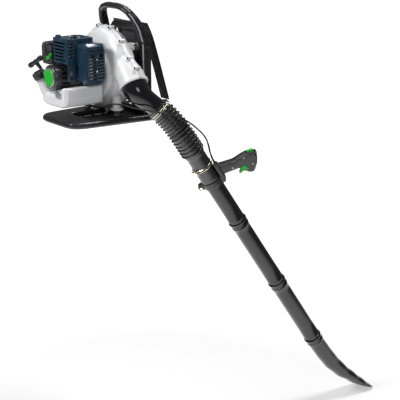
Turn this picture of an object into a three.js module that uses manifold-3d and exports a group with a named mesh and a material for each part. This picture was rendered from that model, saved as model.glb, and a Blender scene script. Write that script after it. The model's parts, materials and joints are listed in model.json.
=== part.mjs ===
// Backpack petrol leaf blower, in millimetres with +Z up.
// +Y is the way the wearer faces, +X is the wearer's right and the engine points to -Y.
// Pieces are placed sideways from the fan's axis (X = 0) and upwards from a level just under the
// base skid. The whole assembly is then shifted so that its origin lies in the middle of the back
// pad's flat face, where the wearer's back carries it.

import * as THREE from "three";
import { mergeVertices } from "three/addons/utils/BufferGeometryUtils.js";
import Module from "manifold-3d";

const wasm = await Module();
wasm.setup();

// ---------------------------------------------------------------------------------------------
// Driving dimensions
// ---------------------------------------------------------------------------------------------

const GAP = 0.3; // clearance between pieces that touch
const CRANK_Z = 210; // height of the crankshaft and fan axis

// Base skid and back frame
const BASE_BOTTOM = 20;
const BASE_HEIGHT = 46; // top of the skid
const BASE_REAR_Y = -330;
const BASE_FRONT_Y = 64;
const BASE_REAR_HALF = 134;
const BASE_FRONT_HALF = 176;
const BASE_OPENING_HALF = 58;
const BASE_OPENING_REAR_Y = -220;
const PANEL_Y = 6; // rear face of the back panel
const PANEL_THICKNESS = 22;
const PANEL_TOP = 404;
const CHANNEL_HALF = 152; // outer face of the side channels
const CHANNEL_WIDTH = 34;
const CHANNEL_TOP = 336;
const LOOP_TOP = 466; // centre line of the carrying loop at its highest
const LOOP_DEPTH = 19; // half of the loop's bar, front to back
const LOOP_THICKNESS = 12.5; // half of it, inside to outside
const LOOP_SEAM = 0.3; // share of the loop's length that each leg takes
const PAD_THICKNESS = 30;
const PAD_FACE_Y = PANEL_Y + PANEL_THICKNESS + GAP + PAD_THICKNESS;
const PAD_BOTTOM = 84;
const PAD_TOP = 384;
const MOUNT_Z = 230; // height of the origin on the back pad

// Vibration mounts
const LOWER_MOUNT = { x: 108, y: -108 };
const UPPER_MOUNT = { x: 110, z: 314 };
const ISOLATOR_RADIUS = 15;

// Fan housing
const HUB_Y = -148; // engine side of the housing, at its centre
const FLANGE_Y = -82; // plane where the two halves meet
const BACK_Y = -36; // frame side of the housing
const WALL = 3;
const RIM_RADIUS = 175; // nominal radius that the scroll profile is drawn at
const SCROLL_START = 143; // radius just after the tongue
const SCROLL_TOP = 178; // its largest radius, over the top
const SCROLL_END = 168; // radius at the throat
const TONGUE_ANGLE = -33; // degrees above +X, seen from the engine side
const SCROLL_RISE = 232; // degrees from the tongue to the largest radius
const SCROLL_SWEEP = 290; // and to the throat
const COLLAR_RADIUS = 110;
const INLET_RADIUS = 88;
const IMPELLER_RADIUS = 128;
const BLADE_COUNT = 10;

// Outlet, elbow and flexible hose
const DUCT_RADIUS = 55;
const OUTLET_DIRECTION = new THREE.Vector3(0.6, 0, -0.8);
const OUTLET_SIDE = new THREE.Vector3(0.8, 0, 0.6); // square to it, towards the duct's outer wall
const OUTLET_MOUTH = new THREE.Vector3(149, FLANGE_Y, 145).addScaledVector(OUTLET_SIDE, DUCT_RADIUS);
const DUCT_LENGTH = 118; // from inside the scroll to the mouth
const DUCT_ROUND_END = 95 - DUCT_RADIUS; // length that is round behind the mouth; a wide duct narrows sooner
const DUCT_SIDES = 16;
const DUCT_WIDENING = 14; // added to the duct's radius where it leaves the scroll
const DUCT_TAPER = 22; // and how far its outer wall lies inside its mouth's there
const ELBOW_END = new THREE.Vector3(245, -17, 93);
const ELBOW_END_DIRECTION = new THREE.Vector3(0.42, 0.62, -0.66).normalize();
const ELBOW_RADIUS = DUCT_RADIUS - WALL - 0.7; // slides into the duct's mouth
const ELBOW_WALL = 2.5;
const HOSE_BORE_RADIUS = 40;
const HOSE_VALLEY_RADIUS = HOSE_BORE_RADIUS + 3;
const HOSE_RIB_RADIUS = HOSE_VALLEY_RADIUS + 7;
const HOSE_CUFF = 34;
const HOSE_RIBS = 13;
const HOSE_SIDES = 14;

// Blow tube, measured along its own axis from the end of the hose's ribs
const HOSE_END = new THREE.Vector3(323, 107, -93);
const TUBE_DIRECTION = new THREE.Vector3(0.09, 0.541, -0.836).normalize();
const TUBE_RADIUS = 36;
const TUBE_WALL = 2.5;
const TUBE_BORE = TUBE_RADIUS - TUBE_WALL;
const LOWER_CUFF = 140;
const CUFF_RADIUS = TUBE_RADIUS + GAP + 3.2; // outside of the hose's lower cuff
const SOCKET_START = 375;
const TUBE_PITCH = 369;
const SOCKET_LENGTH = 30;
const SPIGOT_RADIUS = TUBE_RADIUS - 0.9; // the end that goes into the next bell
const SOCKET_RADIUS = TUBE_RADIUS + 2.5;
const SOCKET_LIP_RADIUS = SOCKET_RADIUS + 2;
const NOZZLE_LENGTH = 468;

// Control handle, measured from the end of the hose's ribs and out from the tube's axis
const GRIP_CLOCK = 33.2; // degrees round the tube from straight above it, towards +X
const COLLAR_Z = 158;
const COLLAR_SIDES = 24;
const COLLAR_BOLT_OUT = TUBE_RADIUS + 15; // from the tube's axis to the bolt that closes the collar
const SADDLE_START = 82;
const SADDLE_TOP = TUBE_RADIUS + 24; // outer face of the saddle, measured from the tube's axis
const GRIP_REACH = SADDLE_TOP + 164;
const TRIGGER_PIVOT = { out: SADDLE_TOP + 90, at: 152 };
const TRIGGER_RADIUS = 13;
const THUMB_PIVOT = { out: SADDLE_TOP + 136, at: 114 };
const CABLE_OUT = TUBE_RADIUS + 15; // where the control cable enters the saddle
const CABLE_STOP = SADDLE_START + 12;
const CABLE_SPLITS = [0.66, 0.8]; // shares of the cable's length where it is divided

// Engine
const CYLINDER_Y = -224;
const DECK_Z = 262;
const HEAD_Z = 344;
const FIN_COUNT = 4;
const FIN_PITCH = 16;
const COVER_TOP = 357;
const CASE_RADIUS = 50;
const CASE_REAR_Y = -262;
const SHAFT_RADIUS = 9;
const STARTER_FRONT_Y = -344;
const STARTER_RADIUS = 49;
const PULLEY_Y = -327;
const ROPE_RADIUS = 1.9;
const PULLEY_ROPE_RADIUS = 31.5; // from the crank axis to the rope's centre
const PULL_DIRECTION = new THREE.Vector3(-0.38, -0.45, 0.81).normalize();
const HANDLE_STAND_OFF = 87; // from the rope's tangent point to the middle of the pull handle
const TANK_REAR_Y = -335;
const TANK_FRONT_Y = -151;
const TANK_HALF = 98;
const TANK_BOTTOM = 96;
const TANK_TOP = 176;
const TANK_DIP = 146; // top of the tank under the crankcase
const NECK_END = new THREE.Vector3(-74, -346, 209);
const NECK_DIRECTION = new THREE.Vector3(-0.1, -0.47, 0.877).normalize();
const MUFFLER_X = 112; // outer face of the muffler cover
const FILTER_X = -136; // outer face of the air filter cover
const CABLE_RADIUS = 4;

// ---------------------------------------------------------------------------------------------
// Materials
// ---------------------------------------------------------------------------------------------

function finish(color, roughness, metalness = 0) {
  return new THREE.MeshStandardMaterial({ color, roughness, metalness });
}

const blackPlastic = finish(0x2b2b2d, 0.55);
const glossBlack = finish(0x1c1d20, 0.22);
const tubePlastic = finish(0x303032, 0.4);
const hoseRubber = finish(0x2a2a2b, 0.6);
const whitePlastic = finish(0xdfdfe0, 0.35);
const bluePlastic = finish(0x12344b, 0.3);
const greenPlastic = finish(0x2bc13a, 0.35);
const tankPlastic = finish(0xe4e0e2, 0.45);
const castAluminium = finish(0x9a9b9c, 0.45, 0.9);
const steel = finish(0xb4b5ae, 0.3, 1);
const zinc = finish(0xc2c2b4, 0.35, 1);
const rubber = finish(0x1d1d1d, 0.8);
const webbing = finish(0x18181a, 0.9);
const foam = finish(0x26262a, 0.95);
const bulbClear = finish(0xd8dcd4, 0.15);

// ---------------------------------------------------------------------------------------------
// Geometry helpers
// ---------------------------------------------------------------------------------------------

const vec = (x, y, z) => new THREE.Vector3(x, y, z);
const X_AXIS = vec(1, 0, 0);
const Y_AXIS = vec(0, 1, 0);
const Z_AXIS = vec(0, 0, 1);

// Turns a closed three.js geometry into a solid that can be joined and cut.
function toSolid(geometry) {
  geometry.deleteAttribute("normal");
  geometry.deleteAttribute("uv");
  const merged = mergeVertices(geometry, 1e-3);
  const corners = merged.getIndex().array;
  const triangles = [];
  for (let i = 0; i < corners.length; i += 3) {
    const [a, b, c] = corners.slice(i, i + 3);
    if (a !== b && b !== c && c !== a) triangles.push(a, b, c);
  }
  const vertProperties = new Float32Array(merged.getAttribute("position").array);
  const build = (order) =>
    new wasm.Manifold(new wasm.Mesh({ numProp: 3, vertProperties, triVerts: Uint32Array.from(order) }));
  const solid = build(triangles);
  return solid.volume() > 0 ? solid : build(triangles.reverse());
}

function unite(solids) {
  return solids.reduce((whole, next) => whole.add(next));
}

function part(name, solid, material) {
  const { vertProperties, triVerts } = solid.getMesh();
  const geometry = new THREE.BufferGeometry();
  geometry.setAttribute("position", new THREE.BufferAttribute(vertProperties, 3));
  geometry.setIndex(new THREE.BufferAttribute(triVerts, 1));
  geometry.computeVertexNormals();
  const mesh = new THREE.Mesh(geometry, material);
  mesh.name = name;
  return mesh;
}

// A block between two corners.
function block(low, high) {
  const size = high.map((value, i) => value - low[i]);
  const centre = high.map((value, i) => (value + low[i]) / 2);
  return toSolid(new THREE.BoxGeometry(...size).translate(...centre));
}

// Corner radius of a bore whose flats clear a shaft of any clocking by the usual gap.
function clearBore(shaft, sides) {
  return (shaft + GAP) / Math.cos(Math.PI / sides);
}

// A round bar or cone between two points.
function rod(from, to, radius, endRadius = radius, sides = 12) {
  const axis = to.clone().sub(from);
  const middle = from.clone().add(to).multiplyScalar(0.5);
  const turn = new THREE.Quaternion().setFromUnitVectors(Y_AXIS, axis.clone().normalize());
  const geometry = new THREE.CylinderGeometry(endRadius, radius, axis.length(), sides);
  return toSolid(geometry.applyQuaternion(turn).translate(middle.x, middle.y, middle.z));
}

// A turned piece. The profile is a list of [radius, distance along the axis].
function turned(profile, sides = 16) {
  const points = profile.map(([radius, along]) => new THREE.Vector2(radius, along));
  return new THREE.LatheGeometry(points, sides);
}

function turnedY(profile, sides, centre = vec(0, 0, CRANK_Z)) {
  return toSolid(turned(profile, sides).translate(centre.x, centre.y, centre.z));
}

function turnedZ(profile, sides, centre) {
  return toSolid(turned(profile, sides).rotateX(Math.PI / 2).translate(centre.x, centre.y, centre.z));
}

function closed(profile) {
  return [...profile, profile[0]];
}

// An outline through corners [x, y, cut], where cut is how far the rounding runs along each edge.
function outline(corners, Kind = THREE.Shape) {
  const shape = new Kind();
  corners.forEach(([x, y, cut], i) => {
    const corner = new THREE.Vector2(x, y);
    const before = new THREE.Vector2(...corners.at(i - 1)).sub(corner).setLength(cut).add(corner);
    const next = new THREE.Vector2(...corners[(i + 1) % corners.length]);
    const after = next.sub(corner).setLength(cut).add(corner);
    if (i === 0) shape.moveTo(before.x, before.y);
    else shape.lineTo(before.x, before.y);
    if (cut > 0) shape.quadraticCurveTo(x, y, after.x, after.y);
  });
  shape.closePath();
  return shape;
}

function rectangle(x0, y0, x1, y1, cut, Kind = THREE.Shape) {
  return outline([[x0, y0, cut], [x1, y0, cut], [x1, y1, cut], [x0, y1, cut]], Kind);
}

// Extrudes an outline between two levels, with rounded edges that stay inside the outline.
function slab(shape, low, high, bevel = 0, curveSegments = 2) {
  return new THREE.ExtrudeGeometry(shape, {
    depth: high - low - 2 * bevel,
    bevelEnabled: bevel > 0,
    bevelThickness: bevel,
    bevelSize: bevel,
    bevelOffset: -bevel,
    bevelSegments: 1,
    curveSegments,
  }).translate(0, 0, low + bevel);
}

const slabZ = (shape, low, high, bevel, segments) => toSolid(slab(shape, low, high, bevel, segments));

// The outline's x and y become X and Z, and it is extruded along Y.
function slabY(shape, low, high, bevel, segments) {
  return toSolid(slab(shape, -high, -low, bevel, segments).rotateX(Math.PI / 2));
}

// The outline's x and y become Y and Z, and it is extruded along X.
function slabX(shape, low, high, bevel, segments) {
  const basis = new THREE.Matrix4().makeBasis(Y_AXIS, Z_AXIS, X_AXIS);
  return toSolid(slab(shape, low, high, bevel, segments).applyMatrix4(basis));
}

// Bends a geometry whose length runs along +Y from 0 so that it follows part of a curve.
// The geometry's x points as near to `side` as the curve allows.
function follow(geometry, length, curve, side, from = 0, to = 1) {
  const position = geometry.getAttribute("position");
  for (let i = 0; i < position.count; i += 1) {
    const share = THREE.MathUtils.clamp(from + (to - from) * (position.getY(i) / length), 0, 1);
    const tangent = curve.getTangentAt(share);
    const across = side.clone().addScaledVector(tangent, -side.dot(tangent)).normalize();
    const up = across.clone().cross(tangent);
    const point = curve.getPointAt(share);
    point.addScaledVector(across, position.getX(i)).addScaledVector(up, position.getZ(i));
    position.setXYZ(i, point.x, point.y, point.z);
  }
  return geometry;
}

function mirrorX(solidOf) {
  return { right: solidOf(1), left: solidOf(-1) };
}

// ---------------------------------------------------------------------------------------------
// Base skid, back frame and harness
// ---------------------------------------------------------------------------------------------

function baseSkid() {
  const shape = outline([
    [-BASE_REAR_HALF, BASE_REAR_Y, 64],
    [BASE_REAR_HALF, BASE_REAR_Y, 64],
    [BASE_FRONT_HALF, BASE_FRONT_Y, 24],
    [-BASE_FRONT_HALF, BASE_FRONT_Y, 24],
  ]);
  const opening = rectangle(-BASE_OPENING_HALF, BASE_OPENING_REAR_Y, BASE_OPENING_HALF, -26, 26, THREE.Path);
  shape.holes.push(opening);
  const skid = slabZ(shape, BASE_BOTTOM, BASE_HEIGHT, 7, 3);
  const pads = [-1, 1].map((side) => {
    const centre = vec(side * LOWER_MOUNT.x, LOWER_MOUNT.y, BASE_HEIGHT);
    return rod(centre.clone().setZ(BASE_HEIGHT - 6), centre.clone().setZ(BASE_HEIGHT + 4), 21, 19);
  });
  return part("base_skid", unite([skid, ...pads]), blackPlastic);
}

// Centre line of the carrying loop, from the right shoulder over the top to the left one.
function loopCurve() {
  const half = [
    vec(138, 13, 320), vec(129, 0, 378), vec(112, -19, 420), vec(86, -35, 451), vec(44, -41, LOOP_TOP - 1),
  ];
  const mirrored = half.map((p) => vec(-p.x, p.y, p.z)).reverse();
  return new THREE.CatmullRomCurve3([...half, vec(0, -42, LOOP_TOP), ...mirrored]);
}

// A length of the loop, an oval bar that thickens towards the shoulders.
function loopPiece(from, to, segments) {
  const curve = loopCurve();
  const length = curve.getLength() * (to - from);
  const bar = new THREE.CylinderGeometry(1, 1, length, 10, segments).translate(0, length / 2, 0);
  const position = bar.getAttribute("position");
  for (let i = 0; i < position.count; i += 1) {
    const share = from + ((to - from) * position.getY(i)) / length;
    const thicker = 1 + 0.2 * THREE.MathUtils.smoothstep(Math.abs(share - 0.5), 0.22, 0.5);
    position.setX(i, position.getX(i) * LOOP_DEPTH * thicker);
    position.setZ(i, position.getZ(i) * LOOP_THICKNESS * thicker);
  }
  return toSolid(follow(bar, length, curve, Y_AXIS, from, to));
}

function sideChannel(side) {
  const inner = CHANNEL_HALF - CHANNEL_WIDTH;
  const post = slabZ(rectangle(inner, -8, CHANNEL_HALF, 34, 8), BASE_HEIGHT + GAP, CHANNEL_TOP, 3);
  const groove = block([CHANNEL_HALF - 5, 5, 70], [CHANNEL_HALF + 1, 21, CHANNEL_TOP - 24]);
  const channel = post.subtract(groove);
  return side > 0 ? channel : channel.mirror([1, 0, 0]);
}

function backFrame() {
  const half = CHANNEL_HALF - 4;
  const foot = BASE_HEIGHT + GAP;
  const panel = outline([
    [-half, foot, 10], [half, foot, 10], [half, CHANNEL_TOP - 10, 20],
    [78, PANEL_TOP, 18], [-78, PANEL_TOP, 18], [-half, CHANNEL_TOP - 10, 20],
  ]);
  panel.holes.push(rectangle(-84, 66, 84, 190, 20, THREE.Path));
  panel.holes.push(rectangle(-84, 216, 84, 372, 20, THREE.Path));
  const pieces = [slabY(panel, PANEL_Y, PANEL_Y + PANEL_THICKNESS, 3)];
  for (const side of [1, -1]) {
    pieces.push(sideChannel(side));
    const boss = (y) => vec(side * UPPER_MOUNT.x, y, UPPER_MOUNT.z);
    pieces.push(rod(boss(-8), boss(PANEL_Y + 4), 19, 22));
  }
  const seam = GAP / loopCurve().getLength();
  pieces.push(loopPiece(0, LOOP_SEAM - seam, 4), loopPiece(1 - LOOP_SEAM + seam, 1, 4));
  return part("back_frame", unite(pieces), blackPlastic);
}

function carryHandle() {
  return part("carry_handle", loopPiece(LOOP_SEAM, 1 - LOOP_SEAM, 8), blackPlastic);
}

function backPad() {
  const shape = outline([
    [-104, PAD_BOTTOM, 34], [104, PAD_BOTTOM, 34], [104, 266, 20], [60, 328, 20],
    [60, PAD_TOP, 24], [-60, PAD_TOP, 24], [-60, 328, 20], [-104, 266, 20],
  ]);
  return part("back_pad", slabY(shape, PAD_FACE_Y - PAD_THICKNESS, PAD_FACE_Y, 8), foam);
}

function strapCurve(side) {
  const points = [
    vec(92, 35, 402), vec(92, 43, 388), vec(93, 60, 350), vec(95, 84, 272), vec(97, 112, 172), vec(98, 136, 86),
  ];
  return new THREE.CatmullRomCurve3(points.map((p) => vec(side * p.x, p.y, p.z)));
}

function webbingCurve(side) {
  const points = [
    vec(98, 136.4, 83), vec(102, 128, 62), vec(116, 106, 46), vec(129, 86, 38), vec(136, 69, 33),
  ];
  return new THREE.CatmullRomCurve3(points.map((p) => vec(side * p.x, p.y, p.z)));
}

function ribbon(curve, width, thickness, segments) {
  const length = curve.getLength();
  const strip = new THREE.BoxGeometry(width, length, thickness, 1, segments, 1);
  return toSolid(follow(strip.translate(0, length / 2, 0), length, curve, X_AXIS));
}

function harness() {
  const straps = mirrorX((side) => ribbon(strapCurve(side), 56, 12, 10));
  const tails = mirrorX((side) => ribbon(webbingCurve(side), 26, 3, 6));
  return [
    part("shoulder_strap_right", straps.right, foam),
    part("shoulder_strap_left", straps.left, foam),
    part("strap_webbing_right", tails.right, webbing),
    part("strap_webbing_left", tails.left, webbing),
  ];
}

// A rubber barrel between two steel washers, standing on `from` and ending at `to`.
function isolator(name, from, to) {
  const length = to.distanceTo(from);
  const radius = ISOLATOR_RADIUS;
  const profile = [
    [0, 0], [radius, 0], [radius, 4], [radius - 5, length / 2],
    [radius, length - 4], [radius, length], [0, length],
  ];
  const turn = new THREE.Quaternion().setFromUnitVectors(Y_AXIS, to.clone().sub(from).normalize());
  const geometry = turned(profile, 12).applyQuaternion(turn).translate(from.x, from.y, from.z);
  return part(name, toSolid(geometry), rubber);
}

function isolators() {
  const foot = (side, z) => vec(side * LOWER_MOUNT.x, LOWER_MOUNT.y, z);
  const head = (side, y) => vec(side * UPPER_MOUNT.x, y, UPPER_MOUNT.z);
  return [
    isolator("isolator_lower_right", foot(1, BASE_HEIGHT + 4 + GAP), foot(1, 72 - GAP)),
    isolator("isolator_lower_left", foot(-1, BASE_HEIGHT + 4 + GAP), foot(-1, 72 - GAP)),
    isolator("isolator_upper_right", head(1, BACK_Y + 4 + GAP), head(1, -8 - GAP)),
    isolator("isolator_upper_left", head(-1, BACK_Y + 4 + GAP), head(-1, -8 - GAP)),
  ];
}

// ---------------------------------------------------------------------------------------------
// Fan housing
// ---------------------------------------------------------------------------------------------

// Outer radius of the scroll at an angle above +X. It grows clockwise from the tongue over the top,
// then closes in a little where it runs into the duct.
function scrollRadius(degrees) {
  const sweep = THREE.MathUtils.euclideanModulo(TONGUE_ANGLE - degrees, 360);
  if (sweep <= SCROLL_RISE) return THREE.MathUtils.mapLinear(sweep, 0, SCROLL_RISE, SCROLL_START, SCROLL_TOP);
  if (sweep <= SCROLL_SWEEP) {
    return THREE.MathUtils.mapLinear(sweep, SCROLL_RISE, SCROLL_SWEEP, SCROLL_TOP, SCROLL_END);
  }
  return THREE.MathUtils.lerp(SCROLL_END, SCROLL_START, THREE.MathUtils.smoothstep(sweep, SCROLL_SWEEP, 360));
}

// Turns a profile round the crank axis and stretches what lies outside the collar to the scroll.
function scroll(profile, sides = 24) {
  const geometry = turned(profile, sides);
  const position = geometry.getAttribute("position");
  for (let i = 0; i < position.count; i += 1) {
    const x = position.getX(i);
    const z = position.getZ(i);
    const radius = Math.hypot(x, z);
    if (radius > COLLAR_RADIUS) {
      const rim = scrollRadius(THREE.MathUtils.radToDeg(Math.atan2(z, x)));
      const stretched = THREE.MathUtils.mapLinear(radius, COLLAR_RADIUS, RIM_RADIUS, COLLAR_RADIUS, rim);
      position.setX(i, (x * stretched) / radius);
      position.setZ(i, (z * stretched) / radius);
    }
  }
  return toSolid(geometry.translate(0, 0, CRANK_Z));
}

// The housing's section from the axis on the engine side round the rim to the axis again.
function scrollProfile(inset) {
  const collar = COLLAR_RADIUS - inset;
  const rim = RIM_RADIUS - inset;
  const path = new THREE.Path();
  path.moveTo(0, HUB_Y + inset);
  path.lineTo(collar - 6, HUB_Y + inset);
  path.lineTo(collar, HUB_Y + 5 + inset);
  path.lineTo(collar, HUB_Y + 18 + inset);
  path.bezierCurveTo(collar + 36, HUB_Y + 20 + inset, rim, FLANGE_Y - 40 + inset, rim, FLANGE_Y);
  path.quadraticCurveTo(rim, BACK_Y - inset, rim - 34, BACK_Y - inset);
  path.lineTo(0, BACK_Y - inset);
  return path.getPoints(inset > 0 ? 2 : 3).map((p) => [p.x, p.y]);
}

function alongOutlet(distance) {
  return OUTLET_MOUTH.clone().addScaledVector(OUTLET_DIRECTION, distance);
}

function rimPoint(degrees, beyond, y) {
  const angle = THREE.MathUtils.degToRad(degrees);
  const radius = scrollRadius(degrees) + beyond;
  return vec(radius * Math.cos(angle), y, CRANK_Z + radius * Math.sin(angle));
}

// Share of the duct's change from round at its mouth to oval where it leaves the scroll.
function ductShare(distance) {
  return THREE.MathUtils.smoothstep(-distance, DUCT_ROUND_END, DUCT_LENGTH);
}

// A point of the duct's outer wall, `beyond` it, and its X and Z for an outline.
function ductEdge(distance, beyond) {
  const point = alongOutlet(distance);
  return point.addScaledVector(OUTLET_SIDE, DUCT_RADIUS - DUCT_TAPER * ductShare(distance) + beyond);
}

// The outlet duct is oval where it leaves the scroll, and its outer wall starts flush with it.
function duct(inset, from, to) {
  const length = to - from;
  const geometry = new THREE.CylinderGeometry(1, 1, length, DUCT_SIDES, 3).translate(0, length / 2, 0);
  const position = geometry.getAttribute("position");
  for (let i = 0; i < position.count; i += 1) {
    const distance = from + position.getY(i);
    const oval = ductShare(distance);
    const depth = THREE.MathUtils.lerp(DUCT_RADIUS, BACK_Y - FLANGE_Y, oval) - inset;
    const width = DUCT_RADIUS + DUCT_WIDENING * oval - inset;
    const shift = (DUCT_WIDENING + DUCT_TAPER) * oval;
    const point = alongOutlet(distance).addScaledVector(Y_AXIS, position.getX(i) * depth);
    point.addScaledVector(OUTLET_SIDE, position.getZ(i) * width - shift);
    position.setXYZ(i, point.x, point.y, point.z);
  }
  return toSolid(geometry);
}

function flangeLugs() {
  const angles = [48, 76, 104, 150, 190, 230, 270];
  const onScroll = angles.map((angle) => [-12, 10].map((y) => rimPoint(angle, 7, FLANGE_Y + y)));
  const onDuct = [-96, -42].map((distance) =>
    [-12, 10].map((y) => ductEdge(distance, 7).addScaledVector(Y_AXIS, y)));
  return [...onScroll, ...onDuct].map(([from, to]) => rod(from, to, 8, 8, 6));
}

// The seam flange round the scroll and along the outer edge of the duct.
function flange() {
  const section = [[-6, -6], [7, -6], [7, 6], [-6, 6]];
  const rim = closed(section).map(([beyond, y]) => [RIM_RADIUS + beyond, FLANGE_Y + y]);
  const corners = [[-128, -9], [-128, 5], [-60, 7], [-4, 6], [-4, -6], [-60, -6]];
  const edge = corners.map(([distance, beyond]) => ductEdge(distance, beyond)).map((p) => [p.x, p.z, 0]);
  return [scroll(rim), slabY(outline(edge), FLANGE_Y - 6, FLANGE_Y + 6)];
}

function voluteBody() {
  const outside = [scroll(scrollProfile(0)), duct(0, -DUCT_LENGTH, 0), ...flange(), ...flangeLugs()];
  outside.push(rod(alongOutlet(-12), alongOutlet(0), DUCT_RADIUS + 4, DUCT_RADIUS + 4, DUCT_SIDES));
  for (const side of [-1, 1]) {
    const foot = (z) => vec(side * LOWER_MOUNT.x, LOWER_MOUNT.y, z);
    outside.push(rod(foot(76), foot(128), 16, 20, 10), rod(foot(72), foot(80), 26, 24, 12));
    const head = (y) => vec(side * UPPER_MOUNT.x, y, UPPER_MOUNT.z);
    outside.push(rod(head(BACK_Y - 20), head(BACK_Y + 4), 18, 18, 8));
  }
  const inside = unite([
    scroll(scrollProfile(WALL)),
    duct(WALL, -DUCT_LENGTH + 2, 2),
    rod(vec(0, HUB_Y - 1, CRANK_Z), vec(0, HUB_Y + 10, CRANK_Z), 22, 22, 10),
    rod(vec(0, BACK_Y - 10, CRANK_Z), vec(0, BACK_Y + 1, CRANK_Z), INLET_RADIUS, INLET_RADIUS, 20),
  ]);
  return unite(outside).subtract(inside);
}

function voluteHalves() {
  const body = voluteBody();
  const reach = 400;
  const engineSide = block([-reach, -reach, -reach], [reach, FLANGE_Y - GAP / 2, 2 * reach]);
  const frameSide = block([-reach, FLANGE_Y + GAP / 2, -reach], [reach, reach, 2 * reach]);
  return [
    part("volute_engine_half", body.intersect(engineSide), whitePlastic),
    part("volute_frame_half", body.intersect(frameSide), whitePlastic),
  ];
}

function inletGrille() {
  const low = BACK_Y + GAP;
  const ring = (inside, outside, depth) =>
    turnedY(closed([[inside, low], [outside, low], [outside, low + depth], [inside, low + depth]]), 20);
  const bars = [];
  for (let i = 0; i < 8; i += 1) {
    const bar = new THREE.BoxGeometry(78, 3, 3.5).translate(53, low + 2.5, 0);
    bars.push(toSolid(bar.rotateY((i * Math.PI) / 4).translate(0, 0, CRANK_Z)));
  }
  const hub = rod(vec(0, low, CRANK_Z), vec(0, low + 5, CRANK_Z), 18, 18, 10);
  const rim = ring(INLET_RADIUS - 1, INLET_RADIUS + 10, 6);
  return part("inlet_grille", unite([rim, hub, ...bars]), blackPlastic);
}

// ---------------------------------------------------------------------------------------------
// Rotating parts
// ---------------------------------------------------------------------------------------------

const IMPELLER_BACK_Y = HUB_Y + 27;

function impeller() {
  const back = IMPELLER_BACK_Y;
  const disc = turnedY(closed([
    [SHAFT_RADIUS + GAP, back], [IMPELLER_RADIUS, back + 8], [IMPELLER_RADIUS, back + 11],
    [34, back + 5], [26, back + 26], [SHAFT_RADIUS + GAP, back + 30],
  ]), 18);
  const blade = new THREE.Shape();
  const tip = new THREE.Vector2(IMPELLER_RADIUS - 1, 0).rotateAround(new THREE.Vector2(), -0.42);
  blade.moveTo(62, 1.2);
  blade.quadraticCurveTo(104, -6, tip.x + 0.8, tip.y + 1.2);
  blade.lineTo(tip.x - 1, tip.y - 0.8);
  blade.quadraticCurveTo(103, -9, 62, -1.2);
  const blades = [];
  for (let i = 0; i < BLADE_COUNT; i += 1) {
    const geometry = slab(blade, back + 3, BACK_Y - 12, 0, 2).rotateX(-Math.PI / 2);
    geometry.rotateY((i * 2 * Math.PI) / BLADE_COUNT);
    blades.push(toSolid(geometry.translate(0, 0, CRANK_Z)));
  }
  return part("impeller", unite([disc, ...blades]), blackPlastic);
}

function flywheel() {
  const low = HUB_Y + WALL + 2;
  const wheel = turnedY(closed([
    [SHAFT_RADIUS + GAP, low], [74, low], [74, low + 18], [64, low + 18], [62, low + 8],
    [24, low + 8], [22, low + 20], [SHAFT_RADIUS + GAP, low + 20],
  ]), 16);
  return part("flywheel", wheel, castAluminium);
}

function crankshaft() {
  const rear = PULLEY_Y + 11;
  const shaft = turnedY([
    [0, rear], [12, rear], [20, rear + 3], [20, rear + 12], [SHAFT_RADIUS, rear + 14],
    [SHAFT_RADIUS, BACK_Y - 54], [0, BACK_Y - 54],
  ], 10);
  const dogs = [0, 1, 2].map((i) => {
    const dog = new THREE.BoxGeometry(14, 8, 6).translate(20, rear + 6, 0);
    return toSolid(dog.rotateY((i * 2 * Math.PI) / 3).translate(0, 0, CRANK_Z));
  });
  return part("crankshaft", unite([shaft, ...dogs]), steel);
}

// ---------------------------------------------------------------------------------------------
// Engine
// ---------------------------------------------------------------------------------------------

function crankcase() {
  const front = HUB_Y - GAP;
  const drum = turnedY([
    [0, CASE_REAR_Y], [CASE_RADIUS + 6, CASE_REAR_Y], [CASE_RADIUS + 6, CASE_REAR_Y + 2],
    [CASE_RADIUS, CASE_REAR_Y + 3], [CASE_RADIUS, front - 14], [58, front - 10], [58, front], [0, front],
  ], 18);
  const deck = slabZ(rectangle(-36, CYLINDER_Y - 36, 36, CYLINDER_Y + 36, 10), CRANK_Z + 20, DECK_Z, 0, 2);
  const feet = [-1, 1].map((side) =>
    block([side * 21 - 8, CASE_REAR_Y + 14, TANK_DIP + GAP], [side * 21 + 8, front - 24, CRANK_Z - 30]));
  const bore = rod(vec(0, CASE_REAR_Y - 1, CRANK_Z), vec(0, front + 1, CRANK_Z), clearBore(SHAFT_RADIUS, 12));
  return part("crankcase", unite([drum, deck, ...feet]).subtract(bore), castAluminium);
}

function cylinder() {
  const centre = (z) => vec(0, CYLINDER_Y, z);
  const square = (half, cut) => rectangle(-half, CYLINDER_Y - half, half, CYLINDER_Y + half, cut);
  const barrel = rod(centre(DECK_Z + GAP), centre(HEAD_Z), 27, 27, 8);
  const pieces = [barrel, slabZ(square(34, 10), DECK_Z + GAP, DECK_Z + 7, 0, 2)];
  for (let i = 0; i < FIN_COUNT; i += 1) {
    const z = DECK_Z + 18 + i * FIN_PITCH;
    pieces.push(slabZ(square(42, 16), z, z + 3, 0, 1));
  }
  const duct = (from, to, height, radius, sides) =>
    rod(vec(from, CYLINDER_Y, height), vec(to, CYLINDER_Y, height), radius, radius, sides);
  const body = unite([...pieces, duct(-44, -20, 300, 15, 10), duct(20, 63, 290, 15, 14)]);
  const ports = duct(-45, -20, 300, 9, 10).add(duct(36, 64, 290, 9, 14));
  return part("cylinder", body.subtract(ports), castAluminium);
}

const PLUG = { x: 14, y: CYLINDER_Y - 14 };

function sparkPlugCap() {
  const low = HEAD_Z + GAP;
  const profile = [[0, low], [7, low], [11, low + 5], [12, low + 18], [9, low + 23], [0, low + 23]];
  return part("spark_plug_cap", turnedZ(profile, 12, vec(PLUG.x, PLUG.y, 0)), rubber);
}

const COVER = { left: -52, right: 60, rear: -298, front: -172 };

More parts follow.
